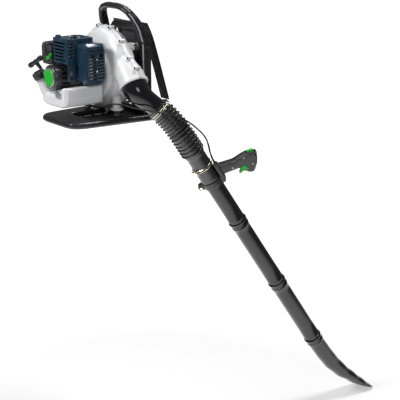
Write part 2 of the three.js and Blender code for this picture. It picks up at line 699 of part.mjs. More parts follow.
function cylinderCover() {
  const { left, right, rear, front } = COVER;
  const thick = 2.5;
  const outer = slabZ(rectangle(left, rear, right, front, 18), DECK_Z - 8, COVER_TOP + 8, 8, 3);
  const hollow = slabZ(
    rectangle(left + thick, rear + thick, right - thick, front - thick, 16),
    DECK_Z - 12, COVER_TOP - thick, 0, 1);
  const skirt = slabX(rectangle(rear, 196, -258, DECK_Z + 30, 8), right - thick, right, 0);
  const above = block([left - 5, rear - 5, COVER_TOP], [right + 5, front + 5, COVER_TOP + 20]);
  const below = block([left - 5, rear - 5, DECK_Z - 20], [right - thick, front + 5, DECK_Z]);
  const cuts = [hollow, above, below];
  for (let i = 0; i < 6; i += 1) {
    const z = DECK_Z + 10 + i * 13;
    cuts.push(block([-42, rear - 1, z], [46, rear + 4, z + 7]));
    if (i > 0) cuts.push(block([right - 4, rear + 8, z], [right + 1, rear + 26, z + 6]));
  }
  cuts.push(block([right - 4, rear + 10, 212], [right + 1, rear + 28, 240]));
  cuts.push(block([left - 1, CYLINDER_Y - 24, DECK_Z - 1], [left + 5, CYLINDER_Y + 24, 322]));
  cuts.push(block([right - 5, CYLINDER_Y - 24, DECK_Z - 1], [right + 1, CYLINDER_Y + 24, 312]));
  cuts.push(rod(vec(PLUG.x, PLUG.y, COVER_TOP - 10), vec(PLUG.x, PLUG.y, COVER_TOP + 10), 14));
  for (let i = 0; i < 3; i += 1) {
    const y = CYLINDER_Y + 10 + i * 12;
    cuts.push(block([-34, y, COVER_TOP - 5], [34, y + 5, COVER_TOP + 1]));
  }
  const posts = [[-16, CYLINDER_Y - 10], [20, CYLINDER_Y + 5]].map(([x, y]) =>
    rod(vec(x, y, HEAD_Z + GAP), vec(x, y, COVER_TOP - 1), 4, 4, 8));
  return part("cylinder_cover", outer.add(skirt).subtract(unite(cuts)).add(unite(posts)), bluePlastic);
}

const MUFFLER_COVER = { rear: -254, front: -152, low: 182, high: 340 };

function mufflerCover() {
  const { rear, front, low, high } = MUFFLER_COVER;
  const thick = 2.5;
  const inner = COVER.right + GAP;
  const body = slabX(rectangle(rear, low, front, high, 24), inner - 14, MUFFLER_X, 12, 3);
  const hollow = slabX(
    rectangle(rear + thick, low + thick, front - thick, high - thick, 22),
    inner - 24, MUFFLER_X - thick, 10, 2);
  const behind = block([0, rear - 5, low - 5], [inner, front + 5, high + 5]);
  const rib = slabX(rectangle(rear + 9, low + 12, rear + 17, high - 12, 3), MUFFLER_X - 4, MUFFLER_X + 3, 1, 1);
  const cuts = [hollow, behind];
  const columns = [rear + 22, rear + 60];
  for (const y of columns) {
    for (let row = 0; row < 8; row += 1) {
      const z = low + 22 + row * 12.5;
      if (row < 7) cuts.push(block([MUFFLER_X - 12, y, z], [MUFFLER_X + 1, y + 30, z + 5]));
    }
    cuts.push(rod(vec(MUFFLER_X - 12, y + 15, high - 46), vec(MUFFLER_X + 1, y + 15, high - 46), 9, 9, 6));
    cuts.push(block([MUFFLER_X - 12, y, high - 28], [MUFFLER_X + 1, y + 30, high - 23]));
  }
  const posts = [low + 50, high - 62].map((z) =>
    rod(vec(MUFFLER_X - 6 + GAP, rear + 56, z), vec(MUFFLER_X - 1, rear + 56, z), 3.5, 3.5, 8));
  return part("muffler_cover", body.add(rib).subtract(unite(cuts)).add(unite(posts)), bluePlastic);
}

function muffler() {
  const { rear, front, low, high } = MUFFLER_COVER;
  const box = slabX(rectangle(rear + 9, low + 20, front - 9, high - 10, 20), 63 + GAP, MUFFLER_X - 6, 7, 3);
  const outlet = rod(vec(86, -186, low + 12), vec(86, -186, low + 30), 9);
  const deflector = rod(vec(86, -186, low + 6), vec(86, -186, low + 13), 12, 9);
  return part("muffler", unite([box, outlet, deflector]), steel);
}

function intakeBoot() {
  const profile = closed([[8, -60], [16, -60], [12, -52], [16, -44 - GAP], [8, -44 - GAP]]);
  const boot = turned(profile, 12).rotateZ(-Math.PI / 2).translate(0, CYLINDER_Y, 300);
  return part("intake_boot", toSolid(boot), rubber);
}

function carburettor() {
  const body = block([-94, CYLINDER_Y - 20, 282], [-60 - GAP, CYLINDER_Y + 18, 316]);
  const bowl = rod(vec(-77, CYLINDER_Y, 268), vec(-77, CYLINDER_Y, 284), 17);
  const stem = rod(vec(-77, CYLINDER_Y, 314), vec(-77, CYLINDER_Y, 320), 5, 5, 8);
  const stop = block([-92, CYLINDER_Y + 14, 300], [-62, CYLINDER_Y + 26, 306]);
  const bores = unite([
    rod(vec(-95, CYLINDER_Y, 300), vec(-59, CYLINDER_Y, 300), 8),
    rod(vec(-77, CYLINDER_Y, 262), vec(-77, CYLINDER_Y, 277), 11.5),
    rod(vec(-77, CYLINDER_Y, 312), vec(-77, CYLINDER_Y, 321), 2.4, 2.4, 8),
  ]);
  return part("carburettor", unite([body, bowl, stem, stop]).subtract(bores), castAluminium);
}

function throttleArm() {
  const z = 320 + GAP;
  const pin = rod(vec(-77, CYLINDER_Y, 313), vec(-77, CYLINDER_Y, z + 3), 2.1, 2.1, 8);
  const arm = slabZ(outline([
    [-82, CYLINDER_Y - 5, 3], [-72, CYLINDER_Y - 5, 3], [-68, CYLINDER_Y + 22, 3], [-76, CYLINDER_Y + 22, 3],
  ]), z, z + 2.5, 0);
  return part("throttle_arm", unite([pin, arm]), zinc);
}

function primerBulb() {
  const dome = [[0, 258], [6, 259], [10, 264], [10.5, 271], [0, 271]];
  return part("primer_bulb", turnedZ(dome, 12, vec(-77, CYLINDER_Y, 0)), bulbClear);
}

const FILTER = { rear: -300, front: -206, low: 242, high: 332, plate: -94 - GAP };

function airFilter() {
  const { rear, front, low, high, plate } = FILTER;
  const back = plate - 7;
  const base = slabX(rectangle(rear + 2, low + 2, front - 2, high - 2, 12), back, plate, 0);
  const shield = block([plate - 2, rear + 2, low + 10], [COVER.left - 4, rear + 5, high - 10]);
  const throat = rod(vec(back - 1, CYLINDER_Y, 300), vec(plate + 1, CYLINDER_Y, 300), 10);
  const pivot = rod(vec(-84, rear - 4, 272), vec(-84, rear + 3, 272), 3, 3, 10);
  const element = slabX(rectangle(rear + 10, low + 10, front - 10, high - 10, 10), back - 20, back - GAP, 0);
  const thick = 2.5;
  const outer = slabX(rectangle(rear, low, front, high, 18), FILTER_X, back + 8, 8);
  const room = rectangle(rear + thick, low + thick, front - thick, high - thick, 16);
  const inner = slabX(room, FILTER_X + thick, back + 20, 8);
  const trim = block([back - GAP, rear - 5, low - 5], [0, front + 5, high + 5]);
  const slots = [22, 34, 46, 58, 70].map((rise) =>
    block([FILTER_X - 1, rear + 22, low + rise], [FILTER_X + 5, front - 22, low + rise + 4]));
  return [
    part("air_filter_base", unite([base, shield, pivot]).subtract(throat), blackPlastic),
    part("air_filter_element", element, foam),
    part("air_filter_cover", outer.subtract(unite([inner, trim, ...slots])), blackPlastic),
  ];
}

function chokeLever() {
  const y = FILTER.rear + 2 - GAP;
  const hub = rod(vec(-84, y - 5, 272), vec(-84, y, 272), 8.5);
  const arm = slabY(outline([[-88, 268, 2], [-80, 264, 2], [-50, 286, 4], [-54, 297, 4]]), y - 4, y, 0);
  const tab = slabY(outline([[-61, 283, 2], [-52, 287, 2], [-55, 294, 2], [-63, 289, 2]]), y - 9, y - 1, 0);
  const hole = rod(vec(-84, y - 8, 272), vec(-84, y + 1, 272), 3 + GAP, 3 + GAP, 10);
  return part("choke_lever", unite([hub, arm, tab]).subtract(hole), greenPlastic);
}

// ---------------------------------------------------------------------------------------------
// Recoil starter
// ---------------------------------------------------------------------------------------------

// Point where the rope leaves the pulley and a point further out along the pull.
function ropePoint(distance) {
  const inPlane = Math.hypot(PULL_DIRECTION.x, PULL_DIRECTION.z);
  const tangent = vec(
    (-PULLEY_ROPE_RADIUS * PULL_DIRECTION.z) / inPlane, PULLEY_Y,
    CRANK_Z + (PULLEY_ROPE_RADIUS * PULL_DIRECTION.x) / inPlane);
  return tangent.addScaledVector(PULL_DIRECTION, distance);
}

function starterHousing() {
  const front = STARTER_FRONT_Y;
  const rear = CASE_REAR_Y - GAP;
  const r = STARTER_RADIUS;
  const outside = turnedY([
    [0, front], [r - 9, front], [r - 3, front + 3], [r, front + 10], [r + 2, rear - 22], [r + 7, rear - 14],
    [r + 7, rear], [0, rear],
  ], 16);
  const inside = turnedY([
    [0, front + 4], [r - 10, front + 4], [r - 3, front + 11], [r - 1, rear - 21], [r + 4, rear - 13],
    [r + 4, rear + 1], [0, rear + 1],
  ], 16);
  const guide = rod(ropePoint(32), ropePoint(50), 7.5, 6.5, 8);
  const tunnel = rod(ropePoint(-4), ropePoint(52), ROPE_RADIUS + 0.6, ROPE_RADIUS + 0.6, 6);
  const post = rod(vec(0, front + 3, CRANK_Z), vec(0, PULLEY_Y + 8, CRANK_Z), 7);
  const slots = [];
  for (let i = 0; i < 5; i += 1) {
    const slot = new THREE.BoxGeometry(20, 26, 8).translate(r, rear - 40, 0);
    slots.push(toSolid(slot.rotateY(THREE.MathUtils.degToRad(-56 + i * 28)).translate(0, 0, CRANK_Z)));
  }
  const shell = outside.add(guide).subtract(inside).add(post).subtract(unite([tunnel, ...slots]));
  return part("starter_housing", shell, blackPlastic);
}

function starterDisc() {
  const y = STARTER_FRONT_Y - GAP;
  const profile = [[0, y - 4], [28, y - 3.4], [33, y - 2], [34, y], [0, y]];
  return part("starter_disc", turnedY(profile, 20), greenPlastic);
}

function starterPulley() {
  const r = PULLEY_ROPE_RADIUS;
  const profile = closed([
    [7 + GAP, -7], [r + 1.5, -7], [r + 1.5, -4.5], [r - 2.3, -2.5],
    [r - 2.3, 2.5], [r + 1.5, 4.5], [r + 1.5, 7], [7 + GAP, 7],
  ].map(([radius, offset]) => [radius, PULLEY_Y + offset]));
  return part("starter_pulley", turnedY(profile, 14), whitePlastic);
}

function starterRope() {
  const end = ropePoint(HANDLE_STAND_OFF - 36 - GAP);
  return part("starter_rope", rod(ropePoint(16), end, ROPE_RADIUS, ROPE_RADIUS, 8), webbing);
}

function starterHandle() {
  const middle = ropePoint(HANDLE_STAND_OFF);
  const barDirection = vec(0.857, 0.137, 0.496).projectOnPlane(PULL_DIRECTION).normalize();
  const end = (sign) => middle.clone().addScaledVector(barDirection, sign * 36);
  const bar = rod(end(-1), end(1), 10.5, 10.5, 8);
  const caps = [-1, 1].map((sign) => {
    const ball = new THREE.SphereGeometry(10.5, 8, 4);
    return toSolid(ball.translate(...end(sign).toArray()));
  });
  const stem = rod(ropePoint(HANDLE_STAND_OFF - 36), ropePoint(HANDLE_STAND_OFF), 6.5, 9.5, 8);
  return part("starter_handle", unite([bar, ...caps, stem]), blackPlastic);
}

// ---------------------------------------------------------------------------------------------
// Fuel system
// ---------------------------------------------------------------------------------------------

// The tank as seen from behind: low in the middle, where the crankcase stands over it.
function tankOutline(inset) {
  const half = TANK_HALF - inset;
  const low = TANK_BOTTOM + inset;
  const high = TANK_TOP - inset;
  const dip = TANK_DIP - inset;
  const slope = inset * 0.6;
  return outline([
    [-half, low, 40], [half, low, 40], [half, high, 13], [64 + slope, high, 8], [46 + slope, dip, 14],
    [-46 - slope, dip, 14], [-64 - slope, high, 8], [-half, high, 13],
  ]);
}

// The tank as seen from above gives its upright edges their large rounding.
function tankBody(inset, bevel) {
  const rear = TANK_REAR_Y + inset;
  const front = TANK_FRONT_Y - inset;
  const half = TANK_HALF - inset;
  const steps = inset > 0 ? 1 : 3;
  const plan = slabZ(rectangle(-half, rear, half, front, 38), TANK_BOTTOM - 5, TANK_TOP + 5, 0, steps);
  return slabY(tankOutline(inset), rear, front, bevel, 2).intersect(plan);
}

function alongNeck(distance) {
  return NECK_END.clone().addScaledVector(NECK_DIRECTION, distance);
}

function fuelTank() {
  const outside = unite([
    tankBody(0, 8),
    rod(alongNeck(-72), alongNeck(-18), 30, 22, 14),
    rod(alongNeck(-20), alongNeck(0), 18, 18, 14),
  ]);
  const hollow = unite([
    tankBody(WALL, 6),
    rod(alongNeck(-72), alongNeck(-20), 26.5, 18.5, 14),
    rod(alongNeck(-22), alongNeck(1), 15, 15, 14),
  ]);
  return part("fuel_tank", outside.subtract(hollow), tankPlastic);
}

function fuelCap() {
  const top = 16;
  const low = -10;
  const bore = clearBore(18, 14);
  const cup = toSolid(turned([
    [0, GAP], [bore, GAP], [bore, low], [23, low], [23, top - 3], [21, top], [0, top],
  ], 14));
  const ridges = [];
  for (let i = 0; i < 6; i += 1) {
    const rib = new THREE.BoxGeometry(3, top - low - 6, 5).translate(23, (top + low) / 2 - 1, 0);
    ridges.push(toSolid(rib.rotateY((i * Math.PI) / 3)));
  }
  return placeOnNeck(part("fuel_cap", unite([cup, ...ridges]), blackPlastic));
}

function placeOnNeck(mesh) {
  mesh.position.copy(NECK_END);
  mesh.quaternion.setFromUnitVectors(Y_AXIS, NECK_DIRECTION);
  return mesh;
}

function fuelLine() {
  const curve = new THREE.CatmullRomCurve3([
    vec(-72, -222, TANK_TOP + 0.8), vec(-72, -222, 196), vec(-67, -214, 232), vec(-67, -212, 267.7),
  ]);
  const length = curve.getLength();
  const tube = new THREE.CylinderGeometry(3, 3, length, 8, 5).translate(0, length / 2, 0);
  return part("fuel_line", toSolid(follow(tube, length, curve, X_AXIS)), rubber);
}

function tankBracket() {
  const y = TANK_REAR_Y - GAP;
  const shape = outline([[30, 134, 6], [66, 134, 6], [70, 158, 6], [52, 170, 4], [30, 158, 4]]);
  return part("tank_bracket", slabY(shape, y - 3, y), castAluminium);
}

// ---------------------------------------------------------------------------------------------
// Elbow, hose and control cable
// ---------------------------------------------------------------------------------------------

function elbow() {
  const entry = 20;
  const neckLength = HOSE_CUFF - 4;
  const start = alongOutlet(-14);
  const turnStart = alongOutlet(entry - 14);
  const curve = new THREE.CurvePath();
  curve.add(new THREE.LineCurve3(start, turnStart));
  curve.add(new THREE.CubicBezierCurve3(
    turnStart, alongOutlet(48), ELBOW_END.clone().addScaledVector(ELBOW_END_DIRECTION, -48), ELBOW_END));
  const neck = ELBOW_END.clone().addScaledVector(ELBOW_END_DIRECTION, neckLength);
  curve.add(new THREE.LineCurve3(ELBOW_END, neck));
  const length = curve.getLength();
  const steps = 5;
  const neckRadius = HOSE_BORE_RADIUS * Math.cos(Math.PI / HOSE_SIDES) - GAP;
  const outside = [[ELBOW_RADIUS, 0]];
  for (let i = 0; i <= steps; i += 1) {
    const share = i / steps;
    const radius = THREE.MathUtils.lerp(ELBOW_RADIUS, neckRadius, THREE.MathUtils.smoothstep(share, 0, 0.9));
    outside.push([radius, THREE.MathUtils.lerp(entry, length - neckLength, share)]);
  }
  outside.push([neckRadius, length]);
  const bore = outside.map(([radius, distance]) => [radius - ELBOW_WALL, distance]).reverse();
  const geometry = turned(closed([...outside, ...bore]), DUCT_SIDES);
  return part("outlet_elbow", toSolid(follow(geometry, length, curve, Y_AXIS)), glossBlack);
}

// The hose leaves the elbow straight for the length of its cuff, bends to the tube and then runs
// straight along it.
function hoseCurve() {
  const start = ELBOW_END.clone().addScaledVector(ELBOW_END_DIRECTION, 3);
  const bend = start.clone().addScaledVector(ELBOW_END_DIRECTION, HOSE_CUFF);
  const curve = new THREE.CurvePath();
  curve.add(new THREE.LineCurve3(start, bend));
  curve.add(new THREE.CubicBezierCurve3(
    bend, bend.clone().addScaledVector(ELBOW_END_DIRECTION, 60),
    HOSE_END.clone().addScaledVector(TUBE_DIRECTION, -70), HOSE_END));
  curve.add(new THREE.LineCurve3(HOSE_END, HOSE_END.clone().addScaledVector(TUBE_DIRECTION, LOWER_CUFF)));
  return curve;
}

const HOSE_CURVE = hoseCurve();
const HOSE_LENGTH = HOSE_CURVE.getLength();
const RIBS_END = HOSE_LENGTH - LOWER_CUFF;
const RIB_PITCH = (RIBS_END - HOSE_CUFF) / HOSE_RIBS;
const MIDDLE_RIB = 6; // the rib that stays stiff while the hose bends before and after it

// The wand's own frame: +Z along the tube, +X straight above it.
function wandFrame() {
  const above = Z_AXIS.clone().projectOnPlane(TUBE_DIRECTION).normalize();
  const across = TUBE_DIRECTION.clone().cross(above);
  return new THREE.Matrix4().makeBasis(above, across, TUBE_DIRECTION).setPosition(HOSE_END);
}

const WAND_FRAME = wandFrame();

// Geometry turned about +Y, laid along the wand's +Z.
const along = (geometry) => toSolid(geometry.rotateX(Math.PI / 2));

// Where a rib begins, measured along the hose.
const seam = (rib) => HOSE_CUFF + rib * RIB_PITCH;

// Outer profile of the ribs between two rib numbers.
function ribs(first, last) {
  const profile = [];
  for (let rib = first; rib < last; rib += 1) {
    profile.push(
      [HOSE_VALLEY_RADIUS, seam(rib)], [HOSE_RIB_RADIUS, seam(rib + 0.3)], [HOSE_RIB_RADIUS, seam(rib + 0.65)]);
  }
  return profile;
}

// Bore profile that runs back from one rib number to another.
function ribBore(from, to) {
  const steps = Math.max(1, Math.round((from - to) / 1.5));
  const rings = [];
  for (let i = 0; i <= steps; i += 1) {
    rings.push([HOSE_BORE_RADIUS, seam(THREE.MathUtils.lerp(from, to, i / steps)) - (i === 0 ? GAP : 0)]);
  }
  return rings;
}

function hosePiece(name, outside, bore) {
  const geometry = turned(closed([...outside, ...bore]), HOSE_SIDES);
  return part(name, toSolid(follow(geometry, HOSE_LENGTH, HOSE_CURVE, X_AXIS)), hoseRubber);
}

function hose() {
  const middle = MIDDLE_RIB;
  const cuff = HOSE_VALLEY_RADIUS + 1;
  const tubeBore = clearBore(TUBE_RADIUS, HOSE_SIDES);
  const endRing = (rib) => [HOSE_VALLEY_RADIUS, seam(rib) - GAP];
  const lowerCuff = [
    [HOSE_VALLEY_RADIUS, RIBS_END], [HOSE_VALLEY_RADIUS, RIBS_END + 5], [CUFF_RADIUS, RIBS_END + 14],
    [CUFF_RADIUS, HOSE_LENGTH], [tubeBore, HOSE_LENGTH], [tubeBore, RIBS_END + 12],
  ];
  return [
    hosePiece("hose_upper", [[cuff, 0], [cuff, HOSE_CUFF], ...ribs(0, middle), endRing(middle)],
      [...ribBore(middle, 0), [HOSE_BORE_RADIUS, 0]]),
    hosePiece("hose_middle", [...ribs(middle, middle + 1), endRing(middle + 1)], ribBore(middle + 1, middle)),
    hosePiece("hose_lower", [...ribs(middle + 1, HOSE_RIBS), ...lowerCuff], ribBore(HOSE_RIBS, middle + 1)),
  ];
}

// A sprung wire clamp: two rings joined at the screw's blocks, with its screw at an angle in degrees.
function wireClamp(name, radius, screwAngle) {
  const sides = Math.max(16, Math.ceil(radius / 2.8)); // flats that stay clear of a larger cuff
  const ring = (z) => toSolid(new THREE.TorusGeometry(radius + 2.2, 1.6, 4, sides).translate(0, 0, z));
  const out = radius + 6;
  const lugs = [-1, 1].map((side) => block([out - 5, side * 10 - 3, -7], [out + 5, side * 10 + 3, 7]));
  const at = (y) => vec(out + 2, y, 0);
  const screw = [rod(at(-22), at(20), 2.4, 2.4, 8), rod(at(-26), at(-21), 5, 5, 6)];
  const mesh = part(name, unite([ring(-4), ring(4), ...lugs, ...screw]), zinc);
  mesh.rotation.z = THREE.MathUtils.degToRad(screwAngle);
  return mesh;
}

function upperClamp() {
  const share = (HOSE_CUFF * 0.5) / HOSE_LENGTH;
  const holder = new THREE.Group();
  holder.position.copy(HOSE_CURVE.getPointAt(share));
  holder.quaternion.setFromUnitVectors(Z_AXIS, HOSE_CURVE.getTangentAt(share));
  holder.add(wireClamp("hose_clamp_upper", HOSE_VALLEY_RADIUS + 1 + GAP, -75));
  return holder;
}

function lowerClamp() {
  const holder = new THREE.Group();
  holder.position.z = 71;
  holder.add(wireClamp("hose_clamp_lower", CUFF_RADIUS + GAP, 170));
  return holder;
}

// The control cable runs under the engine, past the elbow and over the hose to the handle.
function cableCurve() {
  const angle = THREE.MathUtils.degToRad(GRIP_CLOCK);
  const onWand = (distance, out) =>
    vec(out * Math.cos(angle), out * Math.sin(angle), distance).applyMatrix4(WAND_FRAME);
  return new THREE.CatmullRomCurve3([
    vec(-78, CYLINDER_Y + 30, 326), vec(-92, -186, 316), vec(-112, -164, 262), vec(-118, -159, 180),
    vec(-108, -157, 116), vec(-64, -157, 82), vec(10, -158, 78), vec(92, -161, 86), vec(136, -150, 104),
    vec(172, -126, 104), vec(220, -112, 100), vec(274, -78, 92), vec(313, -26, 80), vec(334, 40, 56),
    vec(341, 104, 12), vec(350, 150, -40), onWand(44, CABLE_OUT + 4),
    onWand(76, CABLE_OUT), onWand(CABLE_STOP, CABLE_OUT),
  ]);
}

function cablePiece(name, from, to, segments) {
  const curve = cableCurve();
  const total = curve.getLength();
  const length = total * (to - from) - GAP;
  const sheath = new THREE.CylinderGeometry(CABLE_RADIUS, CABLE_RADIUS, length, 8, segments);
  sheath.translate(0, length / 2, 0);
  return part(name, toSolid(follow(sheath, length, curve, Y_AXIS, from, to - GAP / total)), rubber);
}

// ---------------------------------------------------------------------------------------------
// Blow tube. These pieces are drawn along +Z in the tube's own frame, with +X above the tube.
// ---------------------------------------------------------------------------------------------

// A plain tube that steps in where its end goes into the next bell.
function spigot(from, to) {
  const tip = to + SOCKET_LENGTH - 4;
  const bore = SPIGOT_RADIUS - TUBE_WALL;
  return closed([
    [TUBE_RADIUS, from], [TUBE_RADIUS, to - 1], [SPIGOT_RADIUS, to - 1], [SPIGOT_RADIUS, tip],
    [bore, tip], [bore, to - 4], [TUBE_BORE, to - 6], [TUBE_BORE, from],
  ]);
}

// Bell that slides over the spigot above it, with a raised lip and a lower edge ring.
function bell(start) {
  const bore = clearBore(SPIGOT_RADIUS, 16);
  const narrow = SPIGOT_RADIUS - TUBE_WALL;
  const end = start + SOCKET_LENGTH;
  return {
    outside: [
      [SOCKET_LIP_RADIUS, start + GAP], [SOCKET_LIP_RADIUS, start + 5], [SOCKET_RADIUS, start + 7],
      [SOCKET_RADIUS, end], [TUBE_RADIUS, end + 3],
    ],
    inside: [[narrow, end + 3], [narrow, end - 3], [bore, end - 3], [bore, start + GAP]],
  };
}

// Two bayonet pins stand on each spigot, and the bell above them has L-shaped slots for them.
const PIN_ANGLE = 90;
const TWIST = 25;

function pins(start) {
  return [0, 180].map((turn) => {
    const angle = THREE.MathUtils.degToRad(PIN_ANGLE + turn);
    const at = (radius) => vec(radius * Math.cos(angle), radius * Math.sin(angle), start + 14);
    return rod(at(TUBE_BORE), at(SOCKET_RADIUS + 1.5), 3, 3, 6);
  });
}

function pinSlots(start) {
  const cuts = [];
  for (const turn of [0, 180]) {
    for (let step = 0; step < 2; step += 1) {
      const angle = THREE.MathUtils.degToRad(PIN_ANGLE + turn - (0.25 + 0.5 * step) * TWIST);
      const slot = new THREE.BoxGeometry(14, 15, 7.2).translate(TUBE_RADIUS + 3, 0, start + 14);
      cuts.push(toSolid(slot.rotateZ(angle)));
    }
    const entry = new THREE.BoxGeometry(14, 7.2, 18).translate(TUBE_RADIUS + 3, 0, start + 6);
    cuts.push(toSolid(entry.rotateZ(THREE.MathUtils.degToRad(PIN_ANGLE + turn - TWIST - 2))));
  }
  return unite(cuts);
}

function tubeUpper() {
  const tube = along(turned(spigot(30, SOCKET_START)));
  return part("tube_upper", unite([tube, ...pins(SOCKET_START)]), tubePlastic);
}

function tubeSection(name, start, isLast) {
  const end = start + TUBE_PITCH;
  const { outside, inside } = bell(start);
  const tail = spigot(start + SOCKET_LENGTH + 4, end).slice(0, -1);
  const profile = closed([...outside, ...tail.slice(1, -1), ...inside]);
  const tube = along(turned(profile)).subtract(pinSlots(start));
  return part(name, unite([tube, ...pins(end)]), tubePlastic);
}

// Distance from the nozzle's socket lip, then the section's half height, half width and rise there.
const NOZZLE_SECTIONS = [
  [30, TUBE_RADIUS, TUBE_RADIUS, 0], [110, TUBE_RADIUS + 0.5, TUBE_RADIUS + 0.5, 3],
  [190, TUBE_RADIUS, TUBE_RADIUS + 2, 9], [270, TUBE_RADIUS - 3, TUBE_RADIUS + 6, 25],
  [345, 27, 46, 50], [410, 25, 48, 71], [NOZZLE_LENGTH + 4, 25, 48, 88],
];

// The slanted mouth starts under the nozzle here and ends at the tip at this rise.
const MOUTH_START = { at: 349, rise: 26 };
const MOUTH_END_RISE = 108;

function nozzleAt(distance) {
  const next = Math.max(1, NOZZLE_SECTIONS.findIndex(([at]) => at >= distance));
  const index = next === 0 ? NOZZLE_SECTIONS.length - 1 : next;
  const [from, to] = [NOZZLE_SECTIONS[index - 1], NOZZLE_SECTIONS[index]];
  const even = THREE.MathUtils.inverseLerp(from[0], to[0], distance);
  const eased = THREE.MathUtils.smoothstep(distance, from[0], to[0]);
  const share = 0.6 * even + 0.4 * eased;
  return from.map((value, i) => THREE.MathUtils.lerp(value, to[i], share));
}

// The nozzle's solid form between two distances, inside its outer skin by a wall.
function nozzleLoft(wall, from, to) {
  const geometry = new THREE.CylinderGeometry(1, 1, to - from, 16, 6).rotateX(Math.PI / 2);
  geometry.translate(0, 0, (from + to) / 2);
  const position = geometry.getAttribute("position");
  for (let i = 0; i < position.count; i += 1) {
    const [, height, width, rise] = nozzleAt(THREE.MathUtils.clamp(position.getZ(i), 30, NOZZLE_LENGTH + 4));
    position.setX(i, position.getX(i) * (height - wall) + rise);
    position.setY(i, position.getY(i) * (width - wall));
  }
  return toSolid(geometry);
}

function nozzle() {
  const start = SOCKET_START + 2 * TUBE_PITCH;
  const { outside, inside } = bell(0);
  const socket = along(turned(closed([...outside, [TUBE_RADIUS, 40], [TUBE_BORE, 40], ...inside])));
  const shell = nozzleLoft(0, 36, NOZZLE_LENGTH + 2).subtract(nozzleLoft(TUBE_WALL, 32, NOZZLE_LENGTH + 8));
  const mouth = new THREE.BoxGeometry(160, 140, 260).translate(-80, 0, 60);
  const slope = Math.atan2(MOUTH_END_RISE - MOUTH_START.rise, NOZZLE_LENGTH - MOUTH_START.at);
  const cut = toSolid(mouth.rotateY(slope).translate(MOUTH_START.rise, 0, MOUTH_START.at));
  const tip = block([-40, -80, NOZZLE_LENGTH], [160, 80, NOZZLE_LENGTH + 20]);
  const body = socket.add(shell.subtract(cut).subtract(tip)).subtract(pinSlots(0));
  const mesh = part("nozzle", body, tubePlastic);
  mesh.position.z = start;
  return mesh;
}

// ---------------------------------------------------------------------------------------------
// Control handle, drawn in the tube's frame after a turn that puts the grip along +X
// ---------------------------------------------------------------------------------------------

// The collar runs round the tube, and its ribbed saddle lies along the cuff under the grip.
function handleCollar() {
  const bore = clearBore(TUBE_RADIUS, COLLAR_SIDES);
  const low = CUFF_RADIUS + 3;
  const ring = along(turned(closed([
    [bore, COLLAR_Z - 14], [bore + 5, COLLAR_Z - 14], [bore + 5, COLLAR_Z + 14], [bore, COLLAR_Z + 14],
  ]), COLLAR_SIDES));
  const saddle = slabY(outline([
    [low, SADDLE_START, 5], [SADDLE_TOP - 5, SADDLE_START, 5], [SADDLE_TOP, SADDLE_START + 12, 0],
    [SADDLE_TOP, COLLAR_Z - 8, 0], [SADDLE_TOP - 5, COLLAR_Z + 18, 5], [bore + 1, COLLAR_Z + 20, 0],
    [bore + 1, LOWER_CUFF + 5, 0], [low, LOWER_CUFF + 3, 0],
  ]), -15, 15, 2);
  const lugX = -COLLAR_BOLT_OUT;
  const lug = slabY(outline([
    [-bore - 1, COLLAR_Z - 14, 0], [-bore - 1, COLLAR_Z + 14, 0],
    [lugX - 12, COLLAR_Z + 12, 8], [lugX - 12, COLLAR_Z - 12, 8],
  ]), -13, 13, 2);
  const split = block([lugX - 20, -1.5, COLLAR_Z - 20], [-bore + 4, 1.5, COLLAR_Z + 20]);
  const cableHole = CABLE_RADIUS + 2 * GAP;
  const room = unite([
    split,
    rod(vec(lugX, -16, COLLAR_Z), vec(lugX, 16, COLLAR_Z), 3 + GAP, 3 + GAP, 12),
    rod(vec(0, 0, 60), vec(0, 0, 200), bore, bore, COLLAR_SIDES),
    rod(vec(0, 0, 60), vec(0, 0, LOWER_CUFF + 1), CUFF_RADIUS + 1, CUFF_RADIUS + 1, COLLAR_SIDES),
    rod(vec(CABLE_OUT, 0, 70), vec(CABLE_OUT, 0, CABLE_STOP + 1), cableHole, cableHole, 12),
  ]);
  return part("handle_collar", unite([ring, saddle, lug]).subtract(room), blackPlastic);
}

function collarBolt() {
  const at = (y) => vec(-COLLAR_BOLT_OUT, y, COLLAR_Z);
  const bolt = unite([
    rod(at(-16), at(16), 3, 3, 12),
    rod(at(13 + GAP), at(18), 6.5, 6, 16),
    rod(at(-18), at(-13 - GAP), 5.5, 5.5, 6),
  ]);
  return part("collar_bolt", bolt, zinc);
}

// Arm and head of the grip as one outline: x runs out from the tube and y along it.
function gripOutline(inset) {
  const foot = SADDLE_TOP;
  return outline([
    [foot + GAP + inset, 97 + inset, 0], [foot + 62, 107 + inset, 14], [foot + 90, 100 + inset, 12],
    [foot + 130, 98 + inset, 12], [GRIP_REACH - inset, 111 + inset, 16], [GRIP_REACH - 16 - inset, 152, 14],
    [foot + 114, 190 - 1.5 * inset, 13], [foot + 92 + 0.5 * inset, 178 - 1.5 * inset, 9],
    [foot + 74, 145 - inset, 9], [foot + GAP + inset, 140 - inset, 0],
  ]);
}

